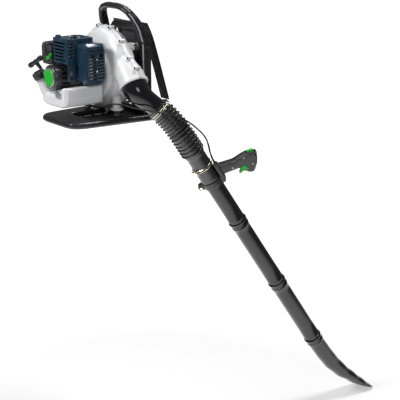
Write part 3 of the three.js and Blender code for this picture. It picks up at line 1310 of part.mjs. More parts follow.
function gripHalves() {
  const solid = slabY(gripOutline(0), -21, 21, 6);
  const hollow = slabY(gripOutline(2.5), -18.5, 18.5, 4, 1);
  const { out, at } = TRIGGER_PIVOT;
  const thumb = THUMB_PIVOT;
  const room = unite([
    block([out - 42, -7.5, at - 14], [out + 6, 7.5, at + 30]),
    block([out - 12, -7.5, at - 12], [out + 12, 7.5, at + 12]),
    rod(vec(out, 7, at), vec(out, 30, at), TRIGGER_RADIUS + GAP, TRIGGER_RADIUS + GAP, 16),
    block([thumb.out - 14, -7, 80], [thumb.out + 22, 7, thumb.at + 2]),
  ]);
  const thumbPin = rod(vec(thumb.out, -21, thumb.at), vec(thumb.out, 21, thumb.at), 3, 3, 10);
  const triggerPin = rod(vec(out, -19, at), vec(out, 6, at), 3, 3, 10);
  const shell = solid.subtract(hollow).subtract(room).add(thumbPin.intersect(solid));
  const outerSide = block([0, GAP / 2, 0], [400, 60, 400]);
  const innerSide = block([0, -60, 0], [400, -GAP / 2, 400]);
  return [
    part("grip_outer_half", shell.intersect(outerSide), blackPlastic),
    part("grip_inner_half", shell.intersect(innerSide).add(triggerPin), blackPlastic),
  ];
}

function throttleTrigger() {
  const { out, at } = TRIGGER_PIVOT;
  const blade = slabY(outline([
    [out - 8, at - 9, 6], [out + 8, at - 9, 6], [out + 8, at + 8, 6], [out - 6, at + 14, 8],
    [out - 22, at + 22, 6], [out - 34, at + 24, 4], [out - 34, at + 16, 4], [out - 18, at + 2, 8],
  ]), -6, 6, 1.5);
  const hub = rod(vec(out, 0, at), vec(out, 22, at), 9, 9, 14);
  const disc = rod(vec(out, 15, at), vec(out, 23, at), TRIGGER_RADIUS, TRIGGER_RADIUS - 1, 16);
  const bore = rod(vec(out, -7, at), vec(out, 7, at), 3 + GAP, 3 + GAP, 10);
  return part("throttle_trigger", unite([blade, hub, disc]).subtract(bore), greenPlastic);
}

function thumbLever() {
  const { out, at } = THUMB_PIVOT;
  const lever = slabY(outline([
    [out - 7, at + 6, 4], [out - 7, at - 8, 4], [out - 10, at - 20, 4],
    [out + 14, at - 20, 5], [out + 18, at - 10, 5], [out + 7, at + 6, 4],
  ]), -6, 6, 1.5);
  const bore = rod(vec(out, -7, at), vec(out, 7, at), 3 + GAP, 3 + GAP, 10);
  return part("thumb_lever", lever.subtract(bore), greenPlastic);
}

// ---------------------------------------------------------------------------------------------
// Assembly
// ---------------------------------------------------------------------------------------------

function frameGroup() {
  const group = new THREE.Group();
  group.add(baseSkid(), backFrame(), carryHandle(), backPad(), ...harness(), ...isolators());
  return group;
}

function engineGroup() {
  const group = new THREE.Group();
  group.add(...voluteHalves(), inletGrille(), impeller(), flywheel(), crankshaft());
  group.add(crankcase(), cylinder(), sparkPlugCap(), cylinderCover(), muffler(), mufflerCover());
  group.add(intakeBoot(), carburettor(), throttleArm(), primerBulb(), ...airFilter(), chokeLever());
  group.add(starterHousing(), starterDisc(), starterPulley(), starterRope(), starterHandle());
  group.add(fuelTank(), fuelCap(), fuelLine(), tankBracket());
  return group;
}

function hoseGroup() {
  const group = new THREE.Group();
  group.add(elbow(), upperClamp());
  group.add(...hose());
  group.add(cablePiece("control_cable_root", 0, CABLE_SPLITS[0], 22));
  group.add(cablePiece("control_cable_upper", CABLE_SPLITS[0], CABLE_SPLITS[1], 10));
  group.add(cablePiece("control_cable_lower", CABLE_SPLITS[1], 1, 12));
  return group;
}

function wandGroup() {
  const handle = new THREE.Group();
  handle.rotation.z = THREE.MathUtils.degToRad(GRIP_CLOCK);
  handle.add(handleCollar(), collarBolt(), ...gripHalves(), throttleTrigger(), thumbLever());
  const group = new THREE.Group();
  WAND_FRAME.decompose(group.position, group.quaternion, group.scale);
  group.add(handle, tubeUpper(), lowerClamp(), nozzle());
  group.add(tubeSection("tube_middle", SOCKET_START), tubeSection("tube_lower", SOCKET_START + TUBE_PITCH));
  return group;
}

const blower = new THREE.Group();
blower.position.set(0, -PAD_FACE_Y, -MOUNT_Z);
blower.add(frameGroup(), engineGroup(), hoseGroup(), wandGroup());

const scene = new THREE.Group();
scene.add(blower);
export default scene;
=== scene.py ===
import bpy
import json
import math
from mathutils import Matrix, Vector


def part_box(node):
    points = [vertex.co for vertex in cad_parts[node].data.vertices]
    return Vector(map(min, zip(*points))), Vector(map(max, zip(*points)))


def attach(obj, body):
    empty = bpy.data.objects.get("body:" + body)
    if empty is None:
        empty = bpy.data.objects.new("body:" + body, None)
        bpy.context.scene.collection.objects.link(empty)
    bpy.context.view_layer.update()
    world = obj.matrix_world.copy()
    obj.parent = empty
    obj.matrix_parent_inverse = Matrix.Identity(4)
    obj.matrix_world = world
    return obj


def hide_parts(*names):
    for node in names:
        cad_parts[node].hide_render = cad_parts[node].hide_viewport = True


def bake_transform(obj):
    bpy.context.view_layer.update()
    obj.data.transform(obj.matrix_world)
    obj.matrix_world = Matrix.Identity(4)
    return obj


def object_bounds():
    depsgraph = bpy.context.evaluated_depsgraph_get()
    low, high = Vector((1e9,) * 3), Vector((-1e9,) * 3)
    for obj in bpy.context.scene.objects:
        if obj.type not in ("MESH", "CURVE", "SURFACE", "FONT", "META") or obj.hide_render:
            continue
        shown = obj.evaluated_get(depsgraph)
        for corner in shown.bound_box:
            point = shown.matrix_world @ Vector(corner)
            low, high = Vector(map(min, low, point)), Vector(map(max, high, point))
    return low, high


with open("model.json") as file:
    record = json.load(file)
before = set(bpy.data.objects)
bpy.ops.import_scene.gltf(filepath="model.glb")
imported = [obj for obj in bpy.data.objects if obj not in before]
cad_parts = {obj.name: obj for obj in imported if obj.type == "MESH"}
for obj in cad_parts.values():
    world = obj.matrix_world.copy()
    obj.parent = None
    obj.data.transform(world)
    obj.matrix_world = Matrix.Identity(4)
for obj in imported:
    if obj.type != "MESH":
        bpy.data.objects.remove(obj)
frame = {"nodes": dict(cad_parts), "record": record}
cadBox = [list(corner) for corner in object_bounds()]
print("frame loaded:", len(frame["nodes"]), "nodes")

# Places are written in millimetres from the crank's upright and a level just under the skid,
# then moved so that the back pad's face is the origin.
padFace = 58.3
mountHeight = 230
crankHeight = 210
hoseEndSpot = (323, 107, -93)
tubeLean = (0.09, 0.541, -0.836)
gripTurn = 33.2  # degrees round the tube
sides = ((1, "Right"), (-1, "Left"))


def mm(x, y, z):
    return Vector((x, y, z)) / 1000


def at(x, y, z):
    return mm(x, y - padFace, z - mountHeight)


def squareTo(way, side):  # side, leaned until it is square to way
    return (Vector(side) - way * way.dot(Vector(side))).normalized()


def placement(origin, along, side=(1, 0, 0)):  # Z runs along, X leans to side
    z = Vector(along).normalized()
    x = squareTo(z, side)
    turned = Matrix((x, z.cross(x), z)).transposed().to_4x4()
    turned.translation = origin
    return turned


crankAxis = placement(at(0, 0, crankHeight), (0, 1, 0))
wand = placement(at(*hoseEndSpot), tubeLean, (0, 0, 1))
handle = wand @ Matrix.Rotation(math.radians(gripTurn), 4, "Z")


# camera, light and floor

view = {"place": at(3281.5, -2204.8, 857.4), "look": (-0.74945, 0.59401, -0.29237), "lens": 87.75, "sensor": 36,
        "farthest": 200}


def addCamera():
    turn = Vector(view["look"]).to_track_quat("-Z", "Y").to_euler()
    bpy.ops.object.camera_add(location=view["place"], rotation=turn)
    camera = bpy.context.object
    camera.data.lens = view["lens"]
    camera.data.sensor_width = view["sensor"]
    camera.data.clip_end = view["farthest"]
    bpy.context.scene.camera = camera
    bpy.context.scene.view_settings.view_transform = "Standard"


studio = {
    "world": 0.14,
    "lamps": [  # place, size, watts
        ((-0.5, -3.3, 2.3), 1.3, 105),
        ((3.6, -1.6, 1.2), 1.2, 20),
        ((-2.4, 2.4, 2.6), 1.0, 26),
        ((0.5, 0.8, 2.8), 0.9, 62),
    ],
    "aim": (0.15, -0.05, -0.3),
    "floorSize": 80,
    "floorGap": 0.004,
    "floorColor": (0.8, 0.8, 0.8, 1),
    "glow": (0.34, 1.0),  # under the blower and far off
    "glowReach": (0.8, 2.6),
    "mirrorReach": (1.4, 4.2),  # the floor fades out of reflections between these
}


def feed(tree, node, wires):  # each input takes a number, a colour or what another node gives
    for label, value in dict(wires).items():
        if isinstance(value, bpy.types.NodeSocket):
            tree.links.new(value, node.inputs[label])
        else:
            node.inputs[label].default_value = value
    return node


def addNode(tree, kind, wires=(), **settings):
    node = tree.nodes.new("ShaderNode" + kind)
    for label, value in settings.items():
        setattr(node, label, value)
    return feed(tree, node, wires)


def mathNode(tree, operation, *values, clamp=False):
    return addNode(tree, "Math", enumerate(values), operation=operation, use_clamp=clamp).outputs[0]


def rangeNode(tree, value, low, high, outLow=0.0, outHigh=1.0):
    labels = ("Value", "From Min", "From Max", "To Min", "To Max")
    return addNode(tree, "MapRange", zip(labels, (value, low, high, outLow, outHigh))).outputs["Result"]


def rayNode(tree, kind):  # 1 where the light path is a ray of this kind
    return addNode(tree, "LightPath").outputs[kind]


def addStudio():
    world = bpy.data.worlds.new("studioWorld")
    bpy.context.scene.world = world
    world.use_nodes = True
    tree = world.node_tree
    level = rangeNode(tree, rayNode(tree, "Is Camera Ray"), 0, 1, studio["world"], 1)
    feed(tree, tree.nodes["Background"], {"Color": (1, 1, 1, 1), "Strength": level})
    for place, size, watts in studio["lamps"]:
        turn = (Vector(studio["aim"]) - Vector(place)).to_track_quat("-Z", "Y").to_euler()
        bpy.ops.object.light_add(type="AREA", location=place, rotation=turn)
        lamp = bpy.context.object.data
        lamp.shape = "DISK"
        lamp.size = size
        lamp.energy = watts


def addFloor():
    bpy.ops.mesh.primitive_plane_add(size=studio["floorSize"], location=(0, 0, cadBox[0][2] - studio["floorGap"]))
    floor = bpy.context.object
    floor.name = "studioFloor"
    paint = bpy.data.materials.new("floorPaint")
    paint.use_nodes = True
    tree = paint.node_tree
    tree.nodes.remove(tree.nodes["Principled BSDF"])
    matt = addNode(tree, "BsdfDiffuse", {"Color": studio["floorColor"]})
    spot = addNode(tree, "TexCoord").outputs["Object"]
    reach = addNode(tree, "VectorMath", {0: spot}, operation="LENGTH").outputs["Value"]
    seen = mathNode(tree, "MAXIMUM", rayNode(tree, "Is Camera Ray"), rayNode(tree, "Is Transmission Ray"))
    direct = mathNode(tree, "MULTIPLY", seen, rangeNode(tree, reach, *studio["glowReach"], *studio["glow"]))
    mirrored = mathNode(tree, "MULTIPLY", rayNode(tree, "Is Glossy Ray"),
                        rangeNode(tree, reach, *studio["mirrorReach"], 1.0, 0.0))
    glow = addNode(tree, "Emission", {"Strength": mathNode(tree, "ADD", direct, mirrored)})
    both = addNode(tree, "AddShader", {0: matt.outputs[0], 1: glow.outputs[0]})
    feed(tree, tree.nodes["Material Output"], {"Surface": both.outputs[0]})
    floor.data.materials.append(paint)


addCamera()
addStudio()
addFloor()
print("camera, lamps and floor ready")


# shader groups


def makeGroup(name, build, **inputs):  # build says what the group gives; each also takes a Vector
    tree = bpy.data.node_groups.new(name, "ShaderNodeTree")
    kinds = {"Color": "NodeSocketColor"}
    tree.interface.new_socket("Vector", in_out="INPUT", socket_type="NodeSocketVector")
    for label, value in inputs.items():
        kind = kinds.get(label, "NodeSocketFloat")
        tree.interface.new_socket(label, in_out="INPUT", socket_type=kind).default_value = value
    given = tree.nodes.new("NodeGroupInput").outputs
    made = build(tree, given)
    for label in made:
        tree.interface.new_socket(label, in_out="OUTPUT", socket_type=kinds.get(label, "NodeSocketFloat"))
    feed(tree, tree.nodes.new("NodeGroupOutput"), made)
    return tree


def noiseNode(tree, vector, scale, detail):
    return addNode(tree, "TexNoise", {"Vector": vector, "Scale": scale, "Detail": detail}).outputs[0]


def scaleColor(tree, color, factor):
    return addNode(tree, "VectorMath", {0: color, "Scale": factor}, operation="SCALE").outputs[0]


def maskWhere(tree, given, first, second):
    both = mathNode(tree, "MULTIPLY", first, second)
    return {"Mask": mathNode(tree, "MULTIPLY", both, given["Amount"], clamp=True)}


def toneDrift(tree, given):  # slow light and dark change in a colour
    wave = rangeNode(tree, noiseNode(tree, given["Vector"], given["Scale"], 4), 0.3, 0.7, -1, 1)
    gain = mathNode(tree, "ADD", mathNode(tree, "MULTIPLY", wave, given["Amount"]), 1.0)
    return {"Color": scaleColor(tree, given["Color"], gain)}


def edgeWearAndHighlight(tree, given):  # marks convex edges, for rubbed wear and for a painted highlight along rounded edges
    edge = rangeNode(tree, addNode(tree, "NewGeometry").outputs["Pointiness"], 0.507, 0.545)
    return maskWhere(tree, given, edge, rangeNode(tree, noiseNode(tree, given["Vector"], 60.0, 5), 0.3, 0.55))


def dustVeil(tree, given):  # settles on what faces up
    normal = addNode(tree, "SeparateXYZ", {0: addNode(tree, "NewGeometry").outputs["Normal"]})
    facing = rangeNode(tree, normal.outputs["Z"], 0.1, 1.0)
    return maskWhere(tree, given, facing, rangeNode(tree, noiseNode(tree, given["Vector"], 25.0, 6), 0.3, 0.7))


def mouldGrain(tree, given):  # spark-eroded skin of moulded plastic, or a casting's at a larger scale
    cells = addNode(tree, "TexVoronoi", {label: given[label] for label in ("Vector", "Scale")}).outputs["Distance"]
    fine = noiseNode(tree, given["Vector"], given["Scale"], 2)
    smear = rangeNode(tree, noiseNode(tree, given["Vector"], 18.0, 5), 0.3, 0.7, -0.5, 0.5)
    return {"Height": mathNode(tree, "ADD", fine, mathNode(tree, "MULTIPLY", cells, 0.6)), "Gloss": smear}


def clothWeave(tree, given):  # over and under threads from two crossed waves
    wires = {"Vector": given["Vector"], "Scale": given["Scale"], "Distortion": 0.4}
    bands = [addNode(tree, "TexWave", wires, bands_direction=direction).outputs[1] for direction in ("X", "Z")]
    crossed = mathNode(tree, "ADD", *bands)
    return {"Height": crossed, "Shade": rangeNode(tree, crossed, 0.0, 2.0, 0.55, 1.15)}


def drawnLines(tree, given):  # lines left by turning, drawing or grinding
    stretched = addNode(tree, "Mapping", {"Vector": given["Vector"], "Scale": (1, 1, 12)}).outputs[0]
    lines = noiseNode(tree, stretched, given["Scale"], 4)
    return {"Height": lines, "Gloss": rangeNode(tree, lines, 0.3, 0.7, -0.5, 0.5)}


groups = {
    "tone": makeGroup("toneDrift", toneDrift, Color=(0.5, 0.5, 0.5, 1), Amount=0.1, Scale=12),
    "edge": makeGroup("edgeWearAndHighlight", edgeWearAndHighlight, Amount=0.3),
    "dust": makeGroup("dustVeil", dustVeil, Amount=0.1),
    "grain": makeGroup("mouldGrain", mouldGrain, Scale=900),
    "weave": makeGroup("clothWeave", clothWeave, Scale=300),
    "lines": makeGroup("drawnLines", drawnLines, Scale=200),
}


# finishes
dustColor = (0.42, 0.4, 0.37)


def makeFinish(name, look):
    material = bpy.data.materials.new(name)
    material.use_nodes = True
    tree = material.node_tree
    place = addNode(tree, "TexCoord").outputs["Object"]

    def useGroup(kind, **values):
        return addNode(tree, "Group", {"Vector": place, **values}, node_tree=groups[kind]).outputs

    def layOver(below, color, kind, amount):
        wires = {0: useGroup(kind, Amount=amount)["Mask"], 6: below, 7: (*color, 1)}
        return addNode(tree, "Mix", wires, data_type="RGBA").outputs[2]

    color = useGroup("tone", Color=(*look["color"], 1), Amount=look.get("drift", 0.12),
                     Scale=look.get("driftScale", 14))["Color"]
    surface = useGroup(look.get("surface", "grain"), Scale=look.get("scale", 900))
    if "Shade" in surface:
        color = scaleColor(tree, color, surface["Shade"])
    # edges take another colour: rubbed wear, and on black plastic a painted highlight along its rounded edges
    if "rubAndHighlight" in look:
        edgeColor = look.get("rubAndHighlightColor", [min(1, c * 2.5 + 0.05) for c in look["color"]])
        color = layOver(color, edgeColor, "edge", look["rubAndHighlight"])
    if "dust" in look:
        color = layOver(color, dustColor, "dust", look["dust"])
    rough = look["roughness"]
    if "Gloss" in surface:
        rough = mathNode(tree, "MULTIPLY_ADD", surface["Gloss"], look.get("smear", 0.12), rough)
    bump = addNode(tree, "Bump", {"Strength": look.get("bump", 0.15), "Distance": look.get("depth", 0.0002),
                                  "Height": surface["Height"]})
    feed(tree, tree.nodes["Principled BSDF"], {
        "Base Color": color, "Roughness": rough, "Normal": bump.outputs[0], "Metallic": look.get("metallic", 0),
        **look.get("sockets", {})})
    return material


looks = {
    # the pale edges of black plastic are mostly a painted highlight on its rounded edges, not wear
    "black_plastic": dict(color=(0.012, 0.012, 0.014), roughness=0.31, rubAndHighlight=0.4, dust=0.012,
        rubAndHighlightColor=(0.13, 0.13, 0.14), sockets={"Specular IOR Level": 0.55}),
    "gloss_black": dict(color=(0.006, 0.006, 0.009), roughness=0.14, scale=300, bump=0.03, rubAndHighlight=0.05, smear=0.06,
        sockets={"Coat Weight": 0.3, "Coat Roughness": 0.08, "Specular IOR Level": 0.45}),
    "tube_plastic": dict(color=(0.009, 0.009, 0.011), roughness=0.17, scale=500, bump=0.03, rubAndHighlight=0.08,
        smear=0.06, dust=0.008, sockets={"Specular IOR Level": 0.62}),
    "hose": dict(color=(0.014, 0.014, 0.016), roughness=0.3, scale=600, bump=0.05, dust=0.01,
        sockets={"Specular IOR Level": 0.9}),
    "white_plastic": dict(color=(0.82, 0.82, 0.83), roughness=0.3, drift=0.02, scale=400, bump=0.04, rubAndHighlight=0.08,
        rubAndHighlightColor=(0.55, 0.55, 0.54), dust=0.03),
    "blue_plastic": dict(color=(0.006, 0.034, 0.066), roughness=0.24, drift=0.15, scale=300, bump=0.04,
        rubAndHighlight=0.12, rubAndHighlightColor=(0.06, 0.12, 0.18), sockets={"Coat Weight": 0.35, "Coat Roughness": 0.1}),
    "green_plastic": dict(color=(0.02, 0.52, 0.03), roughness=0.32, drift=0.06, scale=500, bump=0.05, rubAndHighlight=0.06,
        sockets={"Specular IOR Level": 0.4}),
    "tank_plastic": dict(color=(0.91, 0.9, 0.93), roughness=0.34, drift=0.05, driftScale=9, scale=250,
        bump=0.06, sockets={"Subsurface Weight": 0.2, "Subsurface Scale": 0.01}),
    "cast_aluminium": dict(color=(0.56, 0.57, 0.58), roughness=0.42, metallic=1, scale=700, bump=0.35,
        drift=0.15, rubAndHighlight=0.3, dust=0.06),
    # dark steel, also used as painted shade on the muffler behind the cover's slots
    "hot_steel_and_shade": dict(color=(0.05, 0.045, 0.04), roughness=0.5, metallic=0.8, surface="lines", scale=120,
        bump=0.2, drift=0.3),
    "steel": dict(color=(0.55, 0.55, 0.54), roughness=0.34, metallic=1, surface="lines", scale=160, bump=0.12),
    "zinc": dict(color=(0.9, 0.86, 0.68), roughness=0.22, metallic=1, surface="lines", scale=240, bump=0.1,
        drift=0.2),
    "black_rubber": dict(color=(0.014, 0.014, 0.015), roughness=0.55, scale=700, bump=0.2, dust=0.04,
        sockets={"Specular IOR Level": 0.35}),
    "grey_rubber": dict(color=(0.13, 0.13, 0.135), roughness=0.5, scale=700, bump=0.2, dust=0.04),
    # a pale strip that paints the highlight on the frame's rounded edges
    "painted_highlight_edge": dict(color=(0.42, 0.42, 0.43), roughness=0.4, drift=0.3, scale=500, bump=0.1, dust=0.04),
    "webbing": dict(color=(0.015, 0.015, 0.017), roughness=0.85, surface="weave", scale=420, bump=0.6,
        depth=0.0004, sockets={"Sheen Weight": 0.15, "Sheen Roughness": 0.5}),
    "padding": dict(color=(0.022, 0.022, 0.025), roughness=0.9, surface="weave", scale=180, bump=0.7,
        depth=0.0008, sockets={"Sheen Weight": 0.2, "Sheen Roughness": 0.5}),
    "filter_foam": dict(color=(0.045, 0.045, 0.05), roughness=0.92, drift=0.3, driftScale=60, scale=1100,
        bump=0.8, depth=0.0009, dust=0.05),
    "clear_rubber": dict(color=(0.7, 0.73, 0.68), roughness=0.2, scale=300, bump=0.03,
        sockets={"Transmission Weight": 0.5, "Subsurface Weight": 0.2, "Subsurface Scale": 0.004}),
}

finishes = {name: makeFinish(name + "Finish", look) for name, look in looks.items()}
nodeSlots = {entry["node"]: entry["material_slot"] for entry in frame["record"]["subparts"]}
for nodeName, node in frame["nodes"].items():
    node.data.materials.clear()
    node.data.materials.append(finishes[nodeSlots[nodeName]])
print("finishes ready:", len(finishes))


# modelling steps shared by the pieces


def pickOnly(*pieces):
    if bpy.context.mode != "OBJECT":
        bpy.ops.object.mode_set(mode="OBJECT")
    bpy.ops.object.select_all(action="DESELECT")
    for piece in pieces:
        piece.select_set(True)
    bpy.context.view_layer.objects.active = pieces[0]


def applyPlace(piece, place):
    piece.matrix_world = place @ piece.matrix_world
    pickOnly(piece)
    bpy.ops.object.transform_apply(location=True, rotation=True, scale=True)
    return piece


def applyAll(piece):
    pickOnly(piece)
    for modifier in list(piece.modifiers):
        bpy.ops.object.modifier_apply(modifier=modifier.name)


def alter(piece, kind, **settings):  # puts a modifier on the piece and applies it
    change = piece.modifiers.new(kind, kind)
    for label, value in settings.items():
        setattr(change, label, value)
    applyAll(piece)
    return piece


def putIn(name, data):
    piece = bpy.data.objects.new(name, data)
    bpy.context.scene.collection.objects.link(piece)
    return piece


def newPath(name, kind, count):
    path = bpy.data.curves.new(name, "CURVE")
    path.dimensions = "3D"
    path.twist_mode = "MINIMUM"
    spline = path.splines.new(kind)
    corners = spline.points if kind == "POLY" else spline.bezier_points
    corners.add(count - 1)
    return path, corners


def turnProfile(profile, steps=64, closed=False):  # radius and height in millimetres, spun about Z
    points = [Vector((radius, 0, height)) / 1000 for radius, height in profile]
    if closed:
        points.append(points[0])
    pickOnly(bpy.context.scene.camera)
    bpy.ops.mesh.primitive_plane_add(size=0.002, location=(0, 0, 0))
    piece = bpy.context.object
    bpy.ops.object.mode_set(mode="EDIT")
    bpy.ops.mesh.select_all(action="SELECT")
    bpy.ops.mesh.merge(type="CENTER")
    bpy.ops.transform.translate(value=points[0])
    for before, after in zip(points, points[1:]):
        bpy.ops.mesh.extrude_region_move(TRANSFORM_OT_translate={"value": after - before})
    bpy.ops.mesh.select_all(action="SELECT")
    bpy.ops.mesh.spin(steps=steps, angle=math.tau, center=(0, 0, 0), axis=(0, 0, 1))
    bpy.ops.mesh.select_all(action="SELECT")
    bpy.ops.mesh.remove_doubles(threshold=0.000005)
    bpy.ops.mesh.normals_make_consistent(inside=False)
    bpy.ops.object.mode_set(mode="OBJECT")
    return piece


def turnedAt(place, profile, steps=64, closed=False):
    return applyPlace(turnProfile(profile, steps, closed), place)


def ringsFrom(start, *rings):  # rings of (radius, distance from start)
    return [(radius, start + along) for radius, along in rings]


def eased(share):  # slow at both ends
    return share * share * (3 - 2 * share)


def bentKnots(start, bend, leaving, reaching, settled, end):  # straight, one bend, straight
    return [
        [start, start, start.lerp(bend, 1 / 3)],
        [bend, bend.lerp(start, 1 / 3), leaving],
        [settled, reaching, settled.lerp(end, 1 / 3)],
        [end, end.lerp(settled, 1 / 3), end],
    ]


def layAlong(piece, knots):  # bends a piece that stands on Z along a path of (knot, handle before, handle after)
    path, corners = newPath("bendPath", "BEZIER", len(knots))
    path.resolution_u = 48
    for point, (knot, before, after) in zip(corners, knots):
        point.handle_left_type = point.handle_right_type = "FREE"
        point.co, point.handle_left, point.handle_right = knot, before, after
    guide = putIn("bendPath", path)
    alter(piece, "CURVE", object=guide, deform_axis="POS_Z")
    bpy.data.objects.remove(guide)
    return piece


def cleanCopy(nodeName, bevel=0.6, angle=35):  # a copy of a CAD node with welded corners and eased edges
    piece = putIn(nodeName + "Skin", frame["nodes"][nodeName].data.copy())
    pickOnly(piece)
    bpy.ops.object.mode_set(mode="EDIT")
    bpy.ops.mesh.select_all(action="SELECT")
    bpy.ops.mesh.remove_doubles(threshold=0.00002)
    bpy.ops.mesh.dissolve_limited(angle_limit=math.radians(1))
    bpy.ops.object.mode_set(mode="OBJECT")
    if bevel > 0:
        alter(piece, "BEVEL", width=bevel / 1000, segments=2, limit_method="ANGLE", angle_limit=math.radians(angle),
              miter_outer="MITER_ARC")
    return piece


def meltedCopy(nodeName, voxel, rounds):  # a copy with the soft corners of a blow-moulded or die-cast piece
    piece = alter(cleanCopy(nodeName, 0), "REMESH", mode="VOXEL", voxel_size=voxel / 1000)
    return alter(piece, "SMOOTH", factor=0.5, iterations=rounds)


def finishPiece(piece, name, nodes, slotName, body=None, angle=38, look=None):
    piece.name = name
    piece.data.materials.clear()
    piece.data.materials.append(finishes[look or slotName])
    pickOnly(piece)
    bpy.ops.object.shade_smooth_by_angle(angle=math.radians(angle))
    if body:
        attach(piece, body)
    if nodes:
        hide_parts(*nodes)
    return piece


def joinPieces(pieces):
    pickOnly(*pieces)
    bpy.ops.object.join()
    return bpy.context.object


def roundBar(start, end, radius, endRadius, sides=32):
    axis = end - start
    pickOnly(bpy.context.scene.camera)
    bpy.ops.mesh.primitive_cone_add(vertices=sides, radius1=radius / 1000, radius2=endRadius / 1000,
                                    depth=axis.length, location=(start + end) / 2,
                                    rotation=axis.to_track_quat("Z", "Y").to_euler())
    return applyPlace(bpy.context.object, Matrix.Identity(4))


def boxPiece(centre, size, place=Matrix.Identity(4)):
    pickOnly(bpy.context.scene.camera)
    bpy.ops.mesh.primitive_cube_add(size=1, location=centre, scale=size)
    return applyPlace(bpy.context.object, place)


def cutWith(piece, cutter, operation="DIFFERENCE"):
    alter(piece, "BOOLEAN", operation=operation, solver="EXACT", object=cutter)
    bpy.data.objects.remove(cutter)
    return piece


# flexible hose

hose = {
    "ribs": 13, "stiffRib": 6, "pitch": 15.53, "cuff": 34, "lowerCuff": 140, "steps": 72, "bore": 40, "land": 44,
    "sleeve": 39.5, "sleeveBore": 36.6, "standOff": 0.003, "foldReach": 0.042,
}
ribShape = [  # radius and share of the pitch
    (44, 0.02), (44, 0.18), (45.4, 0.23), (49.2, 0.26), (49.9, 0.3), (49.9, 0.4), (49.9, 0.5), (49.2, 0.54),
    (45.4, 0.57), (44, 0.62), (44, 0.8)]
elbowEnd = at(245, -17, 93)
elbowWay = Vector((0.42, 0.62, -0.66)).normalized()
tubeWay = Vector(tubeLean).normalized()
hoseStart = elbowEnd + elbowWay * hose["standOff"]
hoseLength = hose["cuff"] + hose["ribs"] * hose["pitch"] + hose["lowerCuff"]
folds = {  # where hose and cable bend: the bodies on both sides, their joint and the way through it
    "upper": (("blower", "hose_middle"), "hose_swing", elbowWay),
    "lower": (("hose_middle", "wand"), "hose_lift", tubeWay),
}


def blendOver(piece):
    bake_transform(piece)


def seamAt(rib):
    return hose["cuff"] + rib * hose["pitch"]


def ribProfile(first, last):
    return [(radius, seamAt(rib + share)) for rib in range(first, last) for radius, share in ribShape]


def boreProfile(start, end):
    count = max(2, round(abs(end - start) / 8))
    return [(hose["bore"], start + (end - start) * i / count) for i in range(count + 1)]


def addHose():
    stiff, ribsEnd, hoseEnd = hose["stiffRib"], seamAt(hose["ribs"]), at(*hoseEndSpot)
    upper = [(42.8, 0)] + [(hose["land"], 33 * i / 6 + 0.8) for i in range(6)] + [(hose["land"], 33)]
    upper += ribProfile(0, stiff) + boreProfile(seamAt(stiff) - 0.3, 0)
    middle = ribProfile(stiff, stiff + 1) + boreProfile(seamAt(stiff + 1) - 0.3, seamAt(stiff))
    lower = ribProfile(stiff + 1, hose["ribs"]) + ringsFrom(ribsEnd, (43, 0), (43, 4), (41.8, 9), (39.6, 14))
    lower += [(hose["sleeve"], ribsEnd + 16 + 12 * i) for i in range(10)]
    lower += ringsFrom(hoseLength, (40.4, -10), (40.4, -1), (39.6, 0), (hose["sleeveBore"], 0))
    lower += ringsFrom(ribsEnd, (hose["sleeveBore"], 80), (hose["sleeveBore"], 12), (hose["bore"], 4))
    lower += boreProfile(ribsEnd, seamAt(stiff + 1))
    bend = hoseStart + elbowWay * hose["cuff"] / 1000
    knots = bentKnots(hoseStart, bend, bend + elbowWay * 0.06, hoseEnd - tubeWay * 0.07, hoseEnd,
                      hoseEnd + tubeWay * hose["lowerCuff"] / 1000)
    for part, profile in (("upper", upper), ("middle", middle), ("lower", lower)):
        piece = layAlong(turnProfile(profile, hose["steps"], True), knots)
        body = None if part in folds else "hose_middle"
        finishPiece(piece, "hose" + part.title(), ["hose_" + part], "hose", body, 50)
        if part in folds:
            blendOver(piece)
    print("hose done")


addHose()


# outlet elbow

outletSpot = Vector((193, -82, 178))
outletWay = Vector((0.6, 0, -0.8))
elbow = {"entry": 20, "bend": 110.0, "wall": 2.5, "wide": 51.3, "neck": 38.6, "rings": 22, "steps": 96}


def addElbow():
    mouth = at(*outletSpot)
    knots = bentKnots(mouth - outletWay * 0.014, mouth + outletWay * 0.006, mouth + outletWay * 0.048,
                      elbowEnd - elbowWay * 0.048, elbowEnd, elbowEnd + elbowWay * 0.030)
    wide, neck, entry = elbow["wide"], elbow["neck"], elbow["entry"]
    outer = [(wide, height) for height in (0, 8, 16, entry)]
    for i in range(1, elbow["rings"] + 1):
        share = i / elbow["rings"]
        outer.append((wide + (neck - wide) * eased(min(1, share / 0.9)), entry + elbow["bend"] * share))
    outer += ringsFrom(entry + elbow["bend"], (neck, 10), (neck, 20), (neck, 29), (neck - 0.8, 30))
    inner = [(radius - elbow["wall"], height) for radius, height in reversed(outer)]
    piece = layAlong(turnProfile(outer + inner, elbow["steps"], True), knots)
    finishPiece(piece, "outletElbow", ["outlet_elbow"], "gloss_black", "blower", 50)
    print("elbow done")


addElbow()


# blow tube

tube = {"start": 30, "socketStart": 375, "pitch": 369, "socket": 30, "steps": 80}
socketBore = [(33.5, 40), (32.6, 33), (32.6, 27), (35.9, 27), (35.9, 0.3)]
bayonet = [  # turn in degrees, distance and size of each box of the slot
    (-6.25, 14, (0.014, 0.015, 0.0072)), (-18.75, 14, (0.014, 0.015, 0.0072)), (-27, 6, (0.014, 0.0072, 0.018))]


def socketProfile(start):
    lip = ringsFrom(start, (36.2, 0.3), (39.8, 0.4), (40.4, 1.2), (40.4, 4.4), (39.8, 5.4), (38.6, 6.4), (38.4, 7.2))
    return lip + ringsFrom(start + tube["socket"], (38.4, -3), (38.9, -2.4), (38.9, -0.8), (38.2, 0), (36.1, 3))


